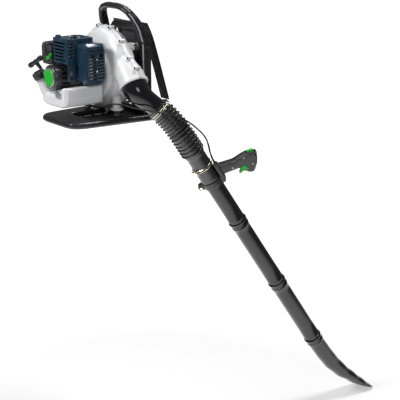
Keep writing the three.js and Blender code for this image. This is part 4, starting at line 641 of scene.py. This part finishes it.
def tubeProfile(start, end, bell):
    outside = socketProfile(start) if bell else [(36, start)]
    outside += [(36, start + 60)] + ringsFrom(end, (36, -90), (36, -14), (36.5, -13), (36.5, -10), (36, -9), (36, -1),
                                              (35.1, -0.6), (35.1, 24), (34.6, 26))
    inside = ringsFrom(end, (32.6, 26), (32.6, -4), (33.5, -6))
    return outside + inside + (ringsFrom(start, *socketBore) if bell else [(33.5, start)])


def bayonetPins(start):
    pins = []
    for turn in (90, 270):
        way = Vector((math.cos(math.radians(turn)), math.sin(math.radians(turn)), 0))
        base = mm(0, 0, start + 14)
        pins.append(roundBar(base + way * 0.033, base + way * 0.0398, 3, 2.7, 20))
    return pins


def slotCutters(start):
    return [boxPiece((0.039, 0, (start + along) / 1000), size, Matrix.Rotation(math.radians(turn + lean), 4, "Z"))
            for turn in (90, 270) for lean, along, size in bayonet]


def addTubes():
    start = tube["socketStart"]
    for name, node, low, high, bell, body in [
            ("tubeUpper", "tube_upper", tube["start"], start, False, "wand"),
            ("tubeMiddle", "tube_middle", start, start + tube["pitch"], True, "tube_middle"),
            ("tubeLower", "tube_lower", start + tube["pitch"], start + 2 * tube["pitch"], True, "tube_lower")]:
        piece = turnProfile(tubeProfile(low, high, bell), tube["steps"], True)
        if bell:
            for cutter in slotCutters(low):
                cutWith(piece, cutter)
        piece = joinPieces([piece] + bayonetPins(high))
        applyPlace(piece, wand)
        finishPiece(piece, name, [node], "tube_plastic", body, 40)
    print("tubes done")


addTubes()


# nozzle

nozzle = {
    "start": 1113, "length": 468, "wall": 2.5, "steps": 64, "rows": 40,
    "cut": 349, "cutLow": 26, "cutHigh": 108,  # the slanting mouth starts at this distance, from low to high
    "sections": [  # distance, half height, half width and rise
        (30, 36, 36, 0), (110, 36.5, 36.5, 3), (190, 36, 38, 9), (270, 33, 42, 25), (345, 27, 46, 50),
        (410, 25, 48, 71), (472, 25, 48, 88)],
}


def nozzleSection(distance):
    sections = nozzle["sections"]
    for before, after in zip(sections, sections[1:]):
        if distance <= after[0]:
            share = max(0, (distance - before[0]) / (after[0] - before[0]))
            share = eased(share) * 0.4 + share * 0.6
            return [a + (b - a) * share for a, b in zip(before, after)]
    return list(sections[-1])


def nozzleShell(inset, start, end):
    count = nozzle["rows"]
    profile = [(1, start + (end - start) * i / count) for i in range(count + 1)]
    piece = turnProfile([(0, start)] + profile + [(0, end)], nozzle["steps"])
    for corner in piece.data.vertices:
        _, height, width, rise = nozzleSection(corner.co.z * 1000)
        corner.co.x = corner.co.x * (height - inset) + rise / 1000
        corner.co.y = corner.co.y * (width - inset)
    return piece


def addNozzle():
    length, cut, low = nozzle["length"], nozzle["cut"], nozzle["cutLow"]
    outer = nozzleShell(0, 36, length)
    cutWith(outer, nozzleShell(nozzle["wall"], 30, length + 8))
    slope = math.atan2(nozzle["cutHigh"] - low, length - cut)
    mouth = boxPiece((-0.08, 0, 0.06), (0.16, 0.14, 0.26))
    applyPlace(mouth, Matrix.Translation((low / 1000, 0, cut / 1000)) @ Matrix.Rotation(slope, 4, "Y"))
    cutWith(outer, mouth)
    socket = turnProfile(socketProfile(0) + [(36, 40)] + socketBore, tube["steps"], True)
    for cutter in slotCutters(0):
        cutWith(socket, cutter)
    piece = joinPieces([outer, socket])
    applyPlace(piece, wand @ Matrix.Translation((0, 0, nozzle["start"] / 1000)))
    finishPiece(piece, "flatNozzle", ["nozzle"], "tube_plastic", "nozzle", 40)
    print("nozzle done")


addNozzle()


# screws and what body each node is on

nodeBodies = {node: body for body, nodes in frame["record"]["behaviour"]["bodies"].items() for node in nodes}
screw = {"head": 4.6, "rise": 2.6, "recess": 2.2}


def screwHead(place, scale=1.0):  # pan head with a socket, its top towards the place's Z
    profile = [(0, 0.9), (screw["recess"] - 0.3, 0.9), (screw["recess"], 2.5), (3.4, screw["rise"]), (4.3, 1.7),
               (screw["head"], 0.6), (screw["head"], -0.4), (0, -0.4)]
    return turnedAt(place, [(radius * scale, rise * scale) for radius, rise in profile], 20, True)


def addScrews(name, slotName, body, spots, look=None):  # spots are (place, direction, scale)
    heads = [screwHead(placement(spot, way, (0.3, 0.2, 0.9)), scale) for spot, way, scale in spots]
    finishPiece(joinPieces(heads), name, [], slotName, body, 35, look)


# hard pieces whose shape comes from the frame: piece name, edge width in mm, smoothing angle

easedPieces = {
    "volute_engine_half": ("voluteEngineSide", 1.2, 42),
    "volute_frame_half": ("voluteFrameSide", 1.2, 42),
    "cylinder_cover": ("cylinderShroud", 0.5, 35),
    "muffler_cover": ("mufflerShroud", 0.5, 35),
    "air_filter_cover": ("filterLid", 0.5, 35),
    "air_filter_base": ("filterPlate", 0.5, 35),
    "muffler": ("mufflerBox", 0.6, 40),
    "cylinder": ("cylinderFins", 0.5, 40),
    "crankcase": ("crankcaseHalves", 0.8, 40),
    "carburettor": ("carburettorBody", 0.5, 35),
    "handle_collar": ("handleCollar", 0.8, 40),
    "grip_outer_half": ("gripOuter", 0.6, 48),
    "grip_inner_half": ("gripInner", 0.6, 48),
    "throttle_trigger": ("throttleTrigger", 0.8, 45),
    "thumb_lever": ("thumbLever", 0.8, 45),
    "choke_lever": ("chokeLever", 0.5, 40),
    "tank_bracket": ("tankBracket", 0.4, 35),
    "collar_bolt": ("collarBolt", 0.3, 35),
    "spark_plug_cap": ("plugCap", 0.6, 45),
    "intake_boot": ("intakeBoot", 0.5, 45),
}
meltedPieces = {  # piece name, voxel in mm, rounds of smoothing
    "base_skid": ("baseSkid", 2.4, 26),
    "back_frame": ("backFrame", 2.0, 14),
    "carry_handle": ("carryLoop", 1.6, 16),
    "fuel_tank": ("fuelTank", 2.1, 8),
}


def addFramePieces():
    # the muffler, seen through the cover's slots, is made dark steel: partly heat stain, partly painted shade for the
    # dark inside the cover
    stainedAndShaded = {"muffler": "hot_steel_and_shade", "spark_plug_cap": "hose", "cylinder": "hot_steel_and_shade"}
    for node, (name, width, angle) in easedPieces.items():
        piece = cleanCopy(node, width, 30)
        finishPiece(piece, name, [node], nodeSlots[node], nodeBodies[node], angle, stainedAndShaded.get(node))
    for node, (name, voxel, rounds) in meltedPieces.items():
        finishPiece(meltedCopy(node, voxel, rounds), name, [node], nodeSlots[node], nodeBodies[node], 60)
    print("eased and melted pieces done")


addFramePieces()


# recoil starter

starter = {
    "radius": 49, "front": -344, "rear": -262.3, "discFront": -348.3, "bore": 6.5, "steps": 96,
    "pulley": -327, "pulleyRadius": 31.5, "slots": 7, "firstSlot": -66, "slotStep": 22, "slotBack": 40,
    "slotSize": (0.02, 0.03, 0.007),
}
pullWay = Vector((-0.38, -0.45, 0.81)).normalized()
ropeStart = mm(-pullWay.z, 0, pullWay.x) * starter["pulleyRadius"] / math.hypot(pullWay.x, pullWay.z)


def ropeAt(distance):
    return at(0, starter["pulley"], crankHeight) + ropeStart + pullWay * distance / 1000


def addStarter():
    front, rear, r, bore = (starter[key] for key in ("front", "rear", "radius", "bore"))
    shape = ringsFrom(front, (35.5, 0), (35.5, -0.6), (38, -1.8), (41, -1.4), (r - 4, 2), (r - 1, 6), (r, 11),
                      (r + 1, 30))
    shape += ringsFrom(rear, (r + 2, -22), (r + 4, -18), (r + 7, -14), (r + 7, 0))
    shape += ringsFrom(rear, (r + 4, 0), (r + 4, -13), (r - 1, -21))
    shape += ringsFrom(front, (r - 3, 12), (r - 10, 5), (bore, 5))
    shape += ringsFrom(starter["pulley"], (bore, 8), (0, 8)) + [(0, front)]
    shell = turnedAt(crankAxis, shape, starter["steps"])
    for i in range(starter["slots"]):
        turn = Matrix.Rotation(math.radians(starter["firstSlot"] + i * starter["slotStep"]), 4, "Y")
        spot = Matrix.Translation(at(0, 0, crankHeight)) @ turn
        cutWith(shell, boxPiece(mm(r, rear - starter["slotBack"], 0), starter["slotSize"], spot))
    guide = roundBar(ropeAt(32), ropeAt(50), 7.5, 6.5)
    tunnel = roundBar(ropeAt(-4), ropeAt(52), 2.6, 2.6, 20)
    cutWith(shell, guide, "UNION")
    cutWith(shell, tunnel)
    finishPiece(shell, "starterHousing", ["starter_housing"], "black_plastic", "blower")
    face = ringsFrom(starter["discFront"], (0, 0.2), (20, 0), (28, 0.5), (32, 1.7), (33.6, 3), (34, 4.3), (0, 4.3))
    disc = turnedAt(crankAxis, face, starter["steps"])
    finishPiece(disc, "starterDisc", ["starter_disc"], "green_plastic", "blower", 40)
    print("starter done")


pullHandle = {"standOff": 87, "half": 36, "radius": 10.5, "across": (0.857, 0.137, 0.496), "rope": 1.9}


def addPullHandle():
    across = squareTo(pullWay, pullHandle["across"])
    r, half = pullHandle["radius"], pullHandle["half"]
    turns = [math.radians(degrees) for degrees in (-75, -60, -40, -20)]
    rings = [(0, -half - r)] + [(r * math.cos(turn), -half + r * math.sin(turn)) for turn in turns]
    waist = [(r, -26), (r - 1.6, -22), (r - 2.2, -12), (r - 1.2, 0), (r - 2.2, 12), (r - 1.6, 22), (r, 26)]
    grip = rings + [(r, -half)] + waist + [(r, half)] + [(radius, -height) for radius, height in reversed(rings)]
    middle = ropeAt(pullHandle["standOff"])
    bar = turnedAt(placement(middle, across, pullWay), grip, 48)
    neck = [(0, -36), (5.6, -36), (6.5, -34.5), (6.8, -26), (7.6, -16), (9.4, -6), (9.5, 2), (0, 2)]
    cutWith(bar, turnedAt(placement(middle, pullWay, across), neck, 40), "UNION")
    finishPiece(bar, "pullHandle", ["starter_handle"], "black_rubber", "pull_handle", 45)
    cord = [(pullHandle["rope"], 16 + i * 1.5) for i in range(24)]
    rope = turnedAt(placement(ropeAt(0), pullWay, across), cord, 16)
    finishPiece(rope, "starterRope", ["starter_rope"], "webbing", None, 60)
    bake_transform(rope)
    print("pull handle done")


addStarter()
addPullHandle()


# fuel cap

cap = {
    "radius": 23, "top": 16, "low": -10, "ribs": 20, "ribSize": (0.0034, 0.0026), "spot": (-74, -346, 209),
    "lean": (-0.1, -0.47, 0.877),
}


def addFuelCap():
    r, top, low = cap["radius"], cap["top"], cap["low"]
    shape = ringsFrom(top, (0, -1.2), (13, -1.2), (14.5, 0), (20, 0), (22.2, -1), (r, -3))
    shape += ringsFrom(low, (r, 2), (r + 1.4, 1), (r + 1.4, 0), (18.6, 0)) + [(18.6, 0.3), (0, 0.3)]
    cup = turnProfile(shape, 80)
    size = (*cap["ribSize"], (top - low - 7) / 1000)
    turns = [Matrix.Rotation(math.tau * i / cap["ribs"], 4, "Z") for i in range(cap["ribs"])]
    rib = joinPieces([boxPiece((r / 1000, 0, (top + low - 1) / 2000), size, turn) for turn in turns])
    alter(rib, "BEVEL", width=0.0007, segments=2)
    piece = applyPlace(joinPieces([cup, rib]), placement(at(*cap["spot"]), cap["lean"]))
    finishPiece(piece, "fuelCap", ["fuel_cap"], "black_plastic", "cap", 35)
    print("fuel cap done")


addFuelCap()


# control cable

cable = {
    "sheaths": ((3.1, 1.6), (2.3, -3.5)),  # radius, offset
    "steps": 16, "rows": 300, "splits": (0.66, 0.8), "gap": 0.0003, "foldReach": 0.045,
    "route": [
        (-78, -194, 326), (-92, -186, 316), (-112, -164, 262), (-118, -159, 180), (-108, -157, 116), (-64, -157, 82),
        (10, -158, 78), (92, -161, 86), (136, -150, 104), (172, -126, 104), (220, -112, 100), (274, -78, 92),
        (313, -26, 80), (334, 40, 56), (341, 104, 12), (350, 150, -40)],
    "gripRoute": [(55, 44), (51, 76), (51, 94)],  # out from the tube and along it
}


def smoothRoute(points, count, fineSteps=40):  # a centripetal curve through the points, evenly stepped
    fine = []
    for i in range(len(points) - 1):
        p0 = points[i - 1] if i else points[0] * 2 - points[1]
        p1, p2 = points[i], points[i + 1]
        p3 = points[i + 2] if i + 2 < len(points) else points[-1] * 2 - points[-2]
        t0, t1, t2 = (max(1e-6, (b - a).length ** 0.5) for a, b in ((p0, p1), (p1, p2), (p2, p3)))
        m1 = ((p1 - p0) / t0 - (p2 - p0) / (t0 + t1) + (p2 - p1) / t1) * t1
        m2 = ((p2 - p1) / t1 - (p3 - p1) / (t1 + t2) + (p3 - p2) / t2) * t1
        for k in range(fineSteps):
            t = k / fineSteps
            fine.append(p1 * (2 * t**3 - 3 * t**2 + 1) + m1 * (t**3 - 2 * t**2 + t)
                        + p2 * (-2 * t**3 + 3 * t**2) + m2 * (t**3 - t**2))
    fine.append(points[-1])
    lengths = [0]
    for before, after in zip(fine, fine[1:]):
        lengths.append(lengths[-1] + (after - before).length)
    even, k = [], 0
    for i in range(count + 1):
        goal = lengths[-1] * i / count
        while k < len(fine) - 2 and lengths[k + 1] < goal:
            k += 1
        share = (goal - lengths[k]) / max(1e-9, lengths[k + 1] - lengths[k])
        even.append(fine[k].lerp(fine[k + 1], min(1, share)))
    return even, lengths[-1]


def sweepRound(name, points, radius, sides):  # a capped bar through points, made from a bevelled curve
    path, corners = newPath(name, "POLY", len(points))
    path.bevel_depth = radius
    path.bevel_resolution = max(0, sides // 4 - 1)
    path.use_fill_caps = True
    for corner, point in zip(corners, points):
        corner.co = (*point, 1)
    pickOnly(putIn(name, path))
    bpy.ops.object.convert(target="MESH")
    return bpy.context.object


def addCable():
    count = cable["rows"]
    route = [at(*spot) for spot in cable["route"]] + [handle @ mm(out, 0, along) for out, along in cable["gripRoute"]]
    even, length = smoothRoute(route, count)
    print("control cable length", round(length, 3), "m")
    first, second = (round(count * share) for share in cable["splits"])
    for part, low, high in (("root", 0, first), ("upper", first, second), ("lower", second, count)):
        name = "cable" + part.title()
        points = even[low:high + 1]
        if high < count:
            points[-1] = points[-1].lerp(points[-2], cable["gap"] / max(1e-6, (points[-1] - points[-2]).length))
        beside = [(after - before).cross(Vector((0, 0, 1))).normalized() / 1000
                  for before, after in zip([points[0]] + points, points[1:] + [points[-1]])]
        strands = []
        for radius, offset in cable["sheaths"]:
            line = [point + side * offset for point, side in zip(points, beside)]
            strands.append(sweepRound(name, line, radius / 1000, cable["steps"]))
        piece = joinPieces(strands)
        body = None if part in folds else "blower"
        finishPiece(piece, name, ["control_cable_" + part], "black_rubber", body, 60)
        if part in folds:
            blendOver(piece)
    print("cable done")


addCable()


# wire clamps round the hose

clamp = {
    "wire": 1.9, "wireSteps": 12, "rows": 60, "stand": 2.2, "opening": 9, "gap": 4.2, "screwOut": 8, "lug": 10,
    "tips": ((1, 11.5, 0.6), (-3, 9.6, 0.9)),  # out from the screw, aside, share of the gap
}
barrelShape = [(0, -7), (3.4, -7), (4.2, -6), (4.2, 6), (3.4, 7), (0, 7)]
threadShape = [(0, -20)] + [(2.1 + 0.35 * (k % 2), -20 + k * 0.8) for k in range(49)] + [(0, 20)]
boltHeadShape = [
    (0, -26.5), (2.2, -26.5), (2.2, -24.6), (3.4, -24.6), (3.4, -26.5), (4.8, -26), (5.1, -25), (5.1, -21.5),
    (0, -21.5)]


def wireClamp(name, node, place, radius, turn, body):
    ring, out, rows = radius + clamp["stand"], radius + clamp["screwOut"], clamp["rows"]
    spread = clamp["opening"] / ring
    angles = [spread + (math.tau - 2 * spread) * k / rows for k in range(rows + 1)]
    pieces = []
    for height in (-clamp["gap"], clamp["gap"]):
        points = [mm(ring * math.cos(angle), ring * math.sin(angle), height) for angle in angles]
        tipIn = [mm(out + further, aside, height * share) for further, aside, share in clamp["tips"]]
        tipOut = [Vector((tip.x, -tip.y, tip.z)) for tip in reversed(tipIn)]
        pieces.append(sweepRound("clampWire", tipIn + points + tipOut, clamp["wire"] / 1000, clamp["wireSteps"]))
    for side in (-1, 1):
        pieces.append(turnedAt(Matrix.Translation(mm(out, side * clamp["lug"], 0)), barrelShape, 24))
    boltAxis = placement(mm(out, 0, 0), (0, 1, 0))
    pieces.append(turnedAt(boltAxis, threadShape, 16))
    pieces.append(turnedAt(boltAxis, boltHeadShape, 6))
    whole = applyPlace(joinPieces(pieces), place @ Matrix.Rotation(math.radians(turn), 4, "Z"))
    finishPiece(whole, name, [node], "zinc", body, 40)


def addClamps():
    upright = Vector((0, 0, 1)).rotation_difference(elbowWay).to_matrix().to_4x4()
    upright.translation = hoseStart + elbowWay * hose["cuff"] / 2000
    wireClamp("clampUpper", "hose_clamp_upper", upright, 44.3, -75, "blower")
    wireClamp("clampLower", "hose_clamp_lower", wand @ Matrix.Translation((0, 0, 0.071)), 39.8, 170, "wand")
    print("clamps done")


addClamps()


# back pad, shoulder straps and webbing

pad = {
    "voxel": 5, "shrink": 4, "pressure": 3.5, "mass": 0.3, "quality": 5, "frames": 20, "cap": 5, "rear": 28.6,
    "channels": (150, 205, 262, 318), "channelGroove": (9, 6), "spineGroove": (12, 7),  # half width and depth
}


def puffUp(piece):  # cloth under pressure, held within the cap
    start = [corner.co.copy() for corner in piece.data.vertices]
    cloth = piece.modifiers.new("cloth", "CLOTH")
    cloth.settings.quality = pad["quality"]
    cloth.settings.mass = pad["mass"]
    cloth.settings.use_pressure = True
    cloth.settings.uniform_pressure_force = pad["pressure"]
    cloth.settings.effector_weights.gravity = 0
    scene = bpy.context.scene
    for step in range(1, pad["frames"] + 1):
        scene.frame_set(step)
    pickOnly(piece)
    bpy.ops.object.modifier_apply(modifier="cloth")
    scene.frame_set(1)
    for corner, before in zip(piece.data.vertices, start):
        move = corner.co - before
        if move.length > pad["cap"] / 1000:
            corner.co = before + move.normalized() * pad["cap"] / 1000


def groove(distance, halfWidth, depth):  # in millimetres, deepest on its own line
    return depth / 1000 * math.cos(min(distance / halfWidth, 1) * math.pi / 2) ** 2


def refine(piece):
    alter(piece, "SUBSURF", levels=1, render_levels=1)


def addBackPad():
    piece = alter(cleanCopy("back_pad", 0), "DISPLACE", strength=-pad["shrink"] / 1000, mid_level=0)
    alter(piece, "REMESH", mode="VOXEL", voxel_size=pad["voxel"] / 1000)
    puffUp(piece)
    refine(piece)
    rear, face = at(0, pad["rear"], 0).y, at(0, padFace, 0).y
    for corner in piece.data.vertices:
        height = corner.co.z * 1000 + mountHeight
        front = max(0, min(1, (corner.co.y - rear) / (face - rear)))
        for channel in pad["channels"]:
            corner.co.y -= groove(abs(height - channel), *pad["channelGroove"]) * front
        corner.co.y -= groove(abs(corner.co.x * 1000), *pad["spineGroove"]) * front
        corner.co.y = min(max(corner.co.y, rear + 0.0002), face + 0.001)
    finishPiece(piece, "backPad", ["back_pad"], "padding", "blower", 80)
    print("back pad done")


def onSide(side, points):
    return [at(side * x, y, z) for x, y, z in points]


def ribbonFrames(points, count):
    even, length = smoothRoute(points, count)
    frames = []
    for i, point in enumerate(even):
        way = (even[min(i + 1, count)] - even[max(i - 1, 0)]).normalized()
        across = squareTo(way, (1, 0, 0))
        frames.append((point, across, across.cross(way)))
    return frames, length


def layStrip(piece, frames, length):  # a strip drawn flat, x across and z along in metres, laid over the frames
    last = len(frames) - 1
    for corner in piece.data.vertices:
        share = min(max(corner.co.z / length, 0), 1) * last
        low = min(int(share), last - 1)
        mix = share - low
        point, across, up = (frames[low][k].lerp(frames[low + 1][k], mix) for k in range(3))
        corner.co = point + across * corner.co.x + up * corner.co.y
    return piece


def flatStrip(half, thick, length, rows, columns):
    pickOnly(bpy.context.scene.camera)
    bpy.ops.mesh.primitive_grid_add(x_subdivisions=columns, y_subdivisions=rows, size=1, location=(0, 0, 0))
    piece = bpy.context.object
    piece.scale = (2 * half / 1000, length, 1)
    piece.location = (0, length / 2, 0)
    bpy.ops.object.transform_apply(location=True, rotation=False, scale=True)
    for corner in piece.data.vertices:
        corner.co = Vector((corner.co.x, 0, corner.co.y))
    return alter(piece, "SOLIDIFY", thickness=thick / 1000, offset=0)


strap = {
    "half": 28, "thick": 12, "rows": 60, "hem": 1.5, "quiltPitch": 42, "seam": 0.72, "seamWidth": 0.09,
    "endTaper": 0.012, "trim": 0.0022, "trimInset": 2,
    "route": [(92, 35, 402), (92, 43, 388), (93, 60, 350), (95, 84, 272), (97, 112, 172), (98, 136, 86)],
}


def addStraps():
    half = strap["half"] - strap["hem"]
    for side, name in sides:
        frames, length = ribbonFrames(onSide(side, strap["route"]), strap["rows"])
        body = flatStrip(half, strap["thick"] - 1, length, 90, 16)
        for corner in body.data.vertices:
            x, y, z = corner.co
            across = abs(x) * 1000 / half
            crown = max(0.0, 1 - across ** 4)
            quilt = 0.5 + 0.5 * math.cos(z * 1000 / strap["quiltPitch"] * math.tau)
            seam = max(0.0, 1 - abs(across - strap["seam"]) / strap["seamWidth"])
            ends = min(1.0, min(z, length - z) / strap["endTaper"])
            corner.co.y = y * (0.42 + 0.58 * crown * (1 - 0.22 * quilt)) * (1 - 0.4 * seam) * (0.55 + 0.45 * ends)
        refine(body)
        layStrip(body, frames, length)
        finishPiece(body, "shoulderStrap" + name, ["shoulder_strap_" + name.lower()], "padding", "blower", 80)
        trim = []
        for edge in (-1, 1):
            inset = edge * (strap["half"] - strap["trimInset"])
            trim.append(sweepRound("strapTrim", [point + across * inset / 1000 for point, across, _ in frames],
                                   strap["trim"], 8))
        finishPiece(joinPieces(trim), "strapTrim" + name, [], "webbing", "blower", 60)
    print("shoulder straps done")


webStrap = {
    "half": 13, "thick": 2.4, "rows": 48,
    "route": [(98, 136.4, 83), (102, 128, 62), (116, 106, 46), (129, 86, 38), (136, 69, 33)],
}
ladder = {  # places as shares of the webbing, sizes in metres
    "rise": 0.002, "bars": (0.08, 0.2, 0.32), "barHalf": 0.017, "barRadius": 0.0021,
    "sides": (0.05, 0.12, 0.2, 0.28, 0.35), "sideHalf": 0.0165, "sideRadius": 0.0026, "steps": 10,
}


def addLadderLock(name, frames):
    def over(share, aside):
        point, across, up = frames[round(share * webStrap["rows"])]
        return point + across * aside + up * ladder["rise"]

    parts = []
    for share in ladder["bars"]:
        ends = [over(share, -ladder["barHalf"]), over(share, ladder["barHalf"])]
        parts.append(sweepRound("ladderBar", ends, ladder["barRadius"], ladder["steps"]))
    for edge in (-1, 1):
        rail = [over(share, edge * ladder["sideHalf"]) for share in ladder["sides"]]
        parts.append(sweepRound("ladderSide", rail, ladder["sideRadius"], ladder["steps"]))
    finishPiece(joinPieces(parts), "ladderLock" + name, [], "black_plastic", "blower", 50)


def addWebbing():
    half = webStrap["half"]
    for side, name in sides:
        frames, length = ribbonFrames(onSide(side, webStrap["route"]), webStrap["rows"])
        tail = flatStrip(half, webStrap["thick"], length, 60, 8)
        for corner in tail.data.vertices:
            corner.co.y *= 1 - 0.35 * (abs(corner.co.x) * 1000 / half) ** 6
        layStrip(tail, frames, length)
        finishPiece(tail, "webbingTail" + name, ["strap_webbing_" + name.lower()], "webbing", "blower", 70)
        addLadderLock(name, frames)
    print("webbing done")


addBackPad()
addStraps()
addWebbing()


# rubber mounts, seam screws and other fasteners

rubberMount = {"radius": 15, "waist": 3, "wave": 1.6, "plate": 3}
mountPlaces = {"Lower": ((108, -108, 50.3), (0, 0, 1), 21.4), "Upper": ((110, -31.7, 314), (0, 1, 0), 23.4)}


def addMounts():
    r, plate = rubberMount["radius"], rubberMount["plate"]
    for level, ((x, y, z), way, length) in mountPlaces.items():
        waves = [(r - rubberMount["waist"] + rubberMount["wave"] * math.cos(k / 4 * math.tau),
                  plate + 0.5 + (length - 2 * plate - 1) * k / 12) for k in range(13)]
        profile = [(0, 0), (r - 0.4, 0), (r, 0.4), (r, plate - 0.4), (r - 0.6, plate)] + waves
        profile += ringsFrom(length, (r - 0.6, -plate), (r, 0.4 - plate), (r, -0.4), (r - 0.4, 0), (0, 0))
        for side, name in sides:
            body = turnedAt(placement(at(side * x, y, z), way), profile, 48)
            node = f"isolator_{level}_{name}".lower()
            finishPiece(body, "rubberMount" + level + name, [node], "black_rubber", "blower", 40, "grey_rubber")
    print("mounts done")


scroll = {"tongue": -33, "start": 143, "top": 178, "end": 168, "rise": 232, "sweep": 290}  # radii and angles
seam = {
    "y": -94, "out": 7, "turns": (48, 76, 104, 150, 190, 230, 270), "ductWay": Vector((0.8, 0, 0.6)),
    "ductSpots": (-96, -42), "ductStart": 40, "ductLength": 78, "ductRadius": 55, "ductTaper": 22,
}
starterScrews = {"ring": 52, "y": -276.5, "turns": (0.9, 2.5, 4.0, 5.5), "scale": 0.7}
shroudScrews = [
    ((20, -219, 357), (0, 0, 1), 1.0), ((-16, -234, 357), (0, 0, 1), 1.0), ((112, -198, 232), (1, 0, 0), 0.9),
    ((112, -198, 278), (1, 0, 0), 0.9)]


def scrollRadius(degrees):
    start, top, end, rise = scroll["start"], scroll["top"], scroll["end"], scroll["rise"]
    sweep = (scroll["tongue"] - degrees) % 360
    if sweep <= rise:
        return start + (top - start) * sweep / rise
    if sweep <= scroll["sweep"]:
        return top + (end - top) * (sweep - rise) / (scroll["sweep"] - rise)
    return end + (start - end) * eased((sweep - scroll["sweep"]) / (360 - scroll["sweep"]))


def roundCrank(radius, angle, y):
    return at(radius * math.cos(angle), y, crankHeight + radius * math.sin(angle))


def addSeamScrews():
    front = (0, -1, 0)
    spots = [(roundCrank(scrollRadius(turn) + seam["out"], math.radians(turn), seam["y"]), front, 1.0)
             for turn in seam["turns"]]
    for distance in seam["ductSpots"]:
        share = eased(min(max((-distance - seam["ductStart"]) / seam["ductLength"], 0), 1))
        reach = seam["ductRadius"] - seam["ductTaper"] * share + seam["out"]
        point = outletSpot + outletWay * distance + seam["ductWay"] * reach
        spots.append((at(point.x, seam["y"], point.z), front, 1.0))
    addScrews("seamScrews", "steel", "blower", spots, "hot_steel_and_shade")
    addScrews("starterScrews", "steel", "blower",
              [(roundCrank(starterScrews["ring"], turn, starterScrews["y"]), front, starterScrews["scale"])
               for turn in starterScrews["turns"]])
    addScrews("shroudScrews", "steel", "blower", [(at(*spot), way, scale) for spot, way, scale in shroudScrews])
    print("screws done")


# dark sheet under the skid's opening that stands in for the shade there
skidWeb = {"half": 60, "rear": -222, "front": -24, "level": 22.4, "thick": 2.4, "ribs": (-172, -123, -74)}


def addSkidShadeWeb():  # a thin dark sheet under the opening, with cross ribs, put there as painted shade so the opening reads dark
    middle = (skidWeb["rear"] + skidWeb["front"]) / 2
    parts = [boxPiece(at(0, middle, skidWeb["level"]),
                      (skidWeb["half"] / 500, (skidWeb["front"] - skidWeb["rear"]) / 1000, skidWeb["thick"] / 1000))]
    for y in skidWeb["ribs"]:
        parts.append(boxPiece(at(0, y, skidWeb["level"] + 3.5), (skidWeb["half"] / 500, 0.003, 0.007)))
    finishPiece(joinPieces(parts), "skidWeb", [], "black_plastic", "blower", 30)


heatShield = {"x": 107.1, "thick": 1.3, "from": -230, "to": -213, "low": 200, "high": 284}


def addEngineTrim():
    h = heatShield
    plate = boxPiece(at(h["x"], (h["from"] + h["to"]) / 2, (h["low"] + h["high"]) / 2),
                     (h["thick"] / 1000, (h["to"] - h["from"]) / 1000, (h["high"] - h["low"]) / 1000))
    finishPiece(plate, "heatShield", [], "cast_aluminium", "blower", 30)
    dome = [(0, -6), (11, -6), (11, 6), (10.2, 8.2), (8, 9), (0, 9)]
    boss = turnedAt(placement(at(-34, -278, 357), (0, 0, 1)), dome, 48)
    finishPiece(boss, "coverBoss", [], "blue_plastic", "blower", 35)
    hoop = ringsFrom(starter["discFront"], (34.3, 3.4), (34.7, 0.8), (36, 0.1), (37.6, 0.9), (38.2, 3), (38.2, 4.6),
                     (34.3, 4.6))
    rim = turnedAt(crankAxis, hoop, starter["steps"], True)
    finishPiece(rim, "discRim", [], "steel", "blower", 40)
    ring = [(0, 0), (17.2, 0), (18, 0.6), (18, 2), (17.2, 2.6), (0, 2.6)]
    washers = [turnedAt(placement(at(side * 110, -33.4, 314), (0, 1, 0)), ring, 40) for side in (-1, 1)]
    finishPiece(joinPieces(washers), "mountWashers", [], "zinc", "blower", 40)
    print("engine trim done")


filterFoam = {"voxel": 1.8, "rounds": 5, "crown": 1.6}


def addFilterFoam():  # an open-cell block that bulges a little between its edges
    piece = meltedCopy("air_filter_element", filterFoam["voxel"], filterFoam["rounds"])
    low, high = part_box("air_filter_element")
    for corner in piece.data.vertices:
        shares = [min(max((corner.co[k] - low[k]) / (high[k] - low[k]), 0), 1) for k in (1, 2)]
        if corner.co.x < (low[0] + high[0]) / 2:
            corner.co.x -= filterFoam["crown"] / 1000 * math.prod(math.sin(math.pi * share) for share in shares)
    finishPiece(piece, "filterFoam", ["air_filter_element"], "padding", "blower", 80, "filter_foam")


highlightBead = {
    "radius": 0.0026, "steps": 12, "rows": 24, "post": [(150.6, -6.6, z) for z in range(62, 331, 12)],
    "leg": [(146.4, -5, 334), (143.6, -9.6, 350), (138.6, -14.8, 378), (119, -33, 425), (105, -40, 441)],
}
gripScrews = {"lift": 20.9, "spots": ((108, 129), (188, 150), (168, 108)), "scale": 0.7}  # out from the tube, along


def addFrameTrim():  # pale beads along the front outer corner of each channel and leg, painted highlights on those rounded edges, and screws in the grip
    for side, name in sides:
        leg, _ = smoothRoute(onSide(side, highlightBead["leg"]), highlightBead["rows"])
        highlightBeads = [sweepRound("frameHighlightBead", line, highlightBead["radius"], highlightBead["steps"])
                 for line in (onSide(side, highlightBead["post"]), leg)]
        finishPiece(joinPieces(highlightBeads), "frameHighlightBead" + name, [], "white_plastic", "blower", 60, "painted_highlight_edge")
    outward = handle.to_3x3() @ Vector((0, 1, 0))
    addScrews("gripScrews", "steel", "wand", [(handle @ mm(out, gripScrews["lift"], along), outward,
                                               gripScrews["scale"]) for out, along in gripScrews["spots"]])
    print("frame trim done")


addMounts()
addSeamScrews()
addSkidShadeWeb()
addEngineTrim()
addFilterFoam()
addFrameTrim()
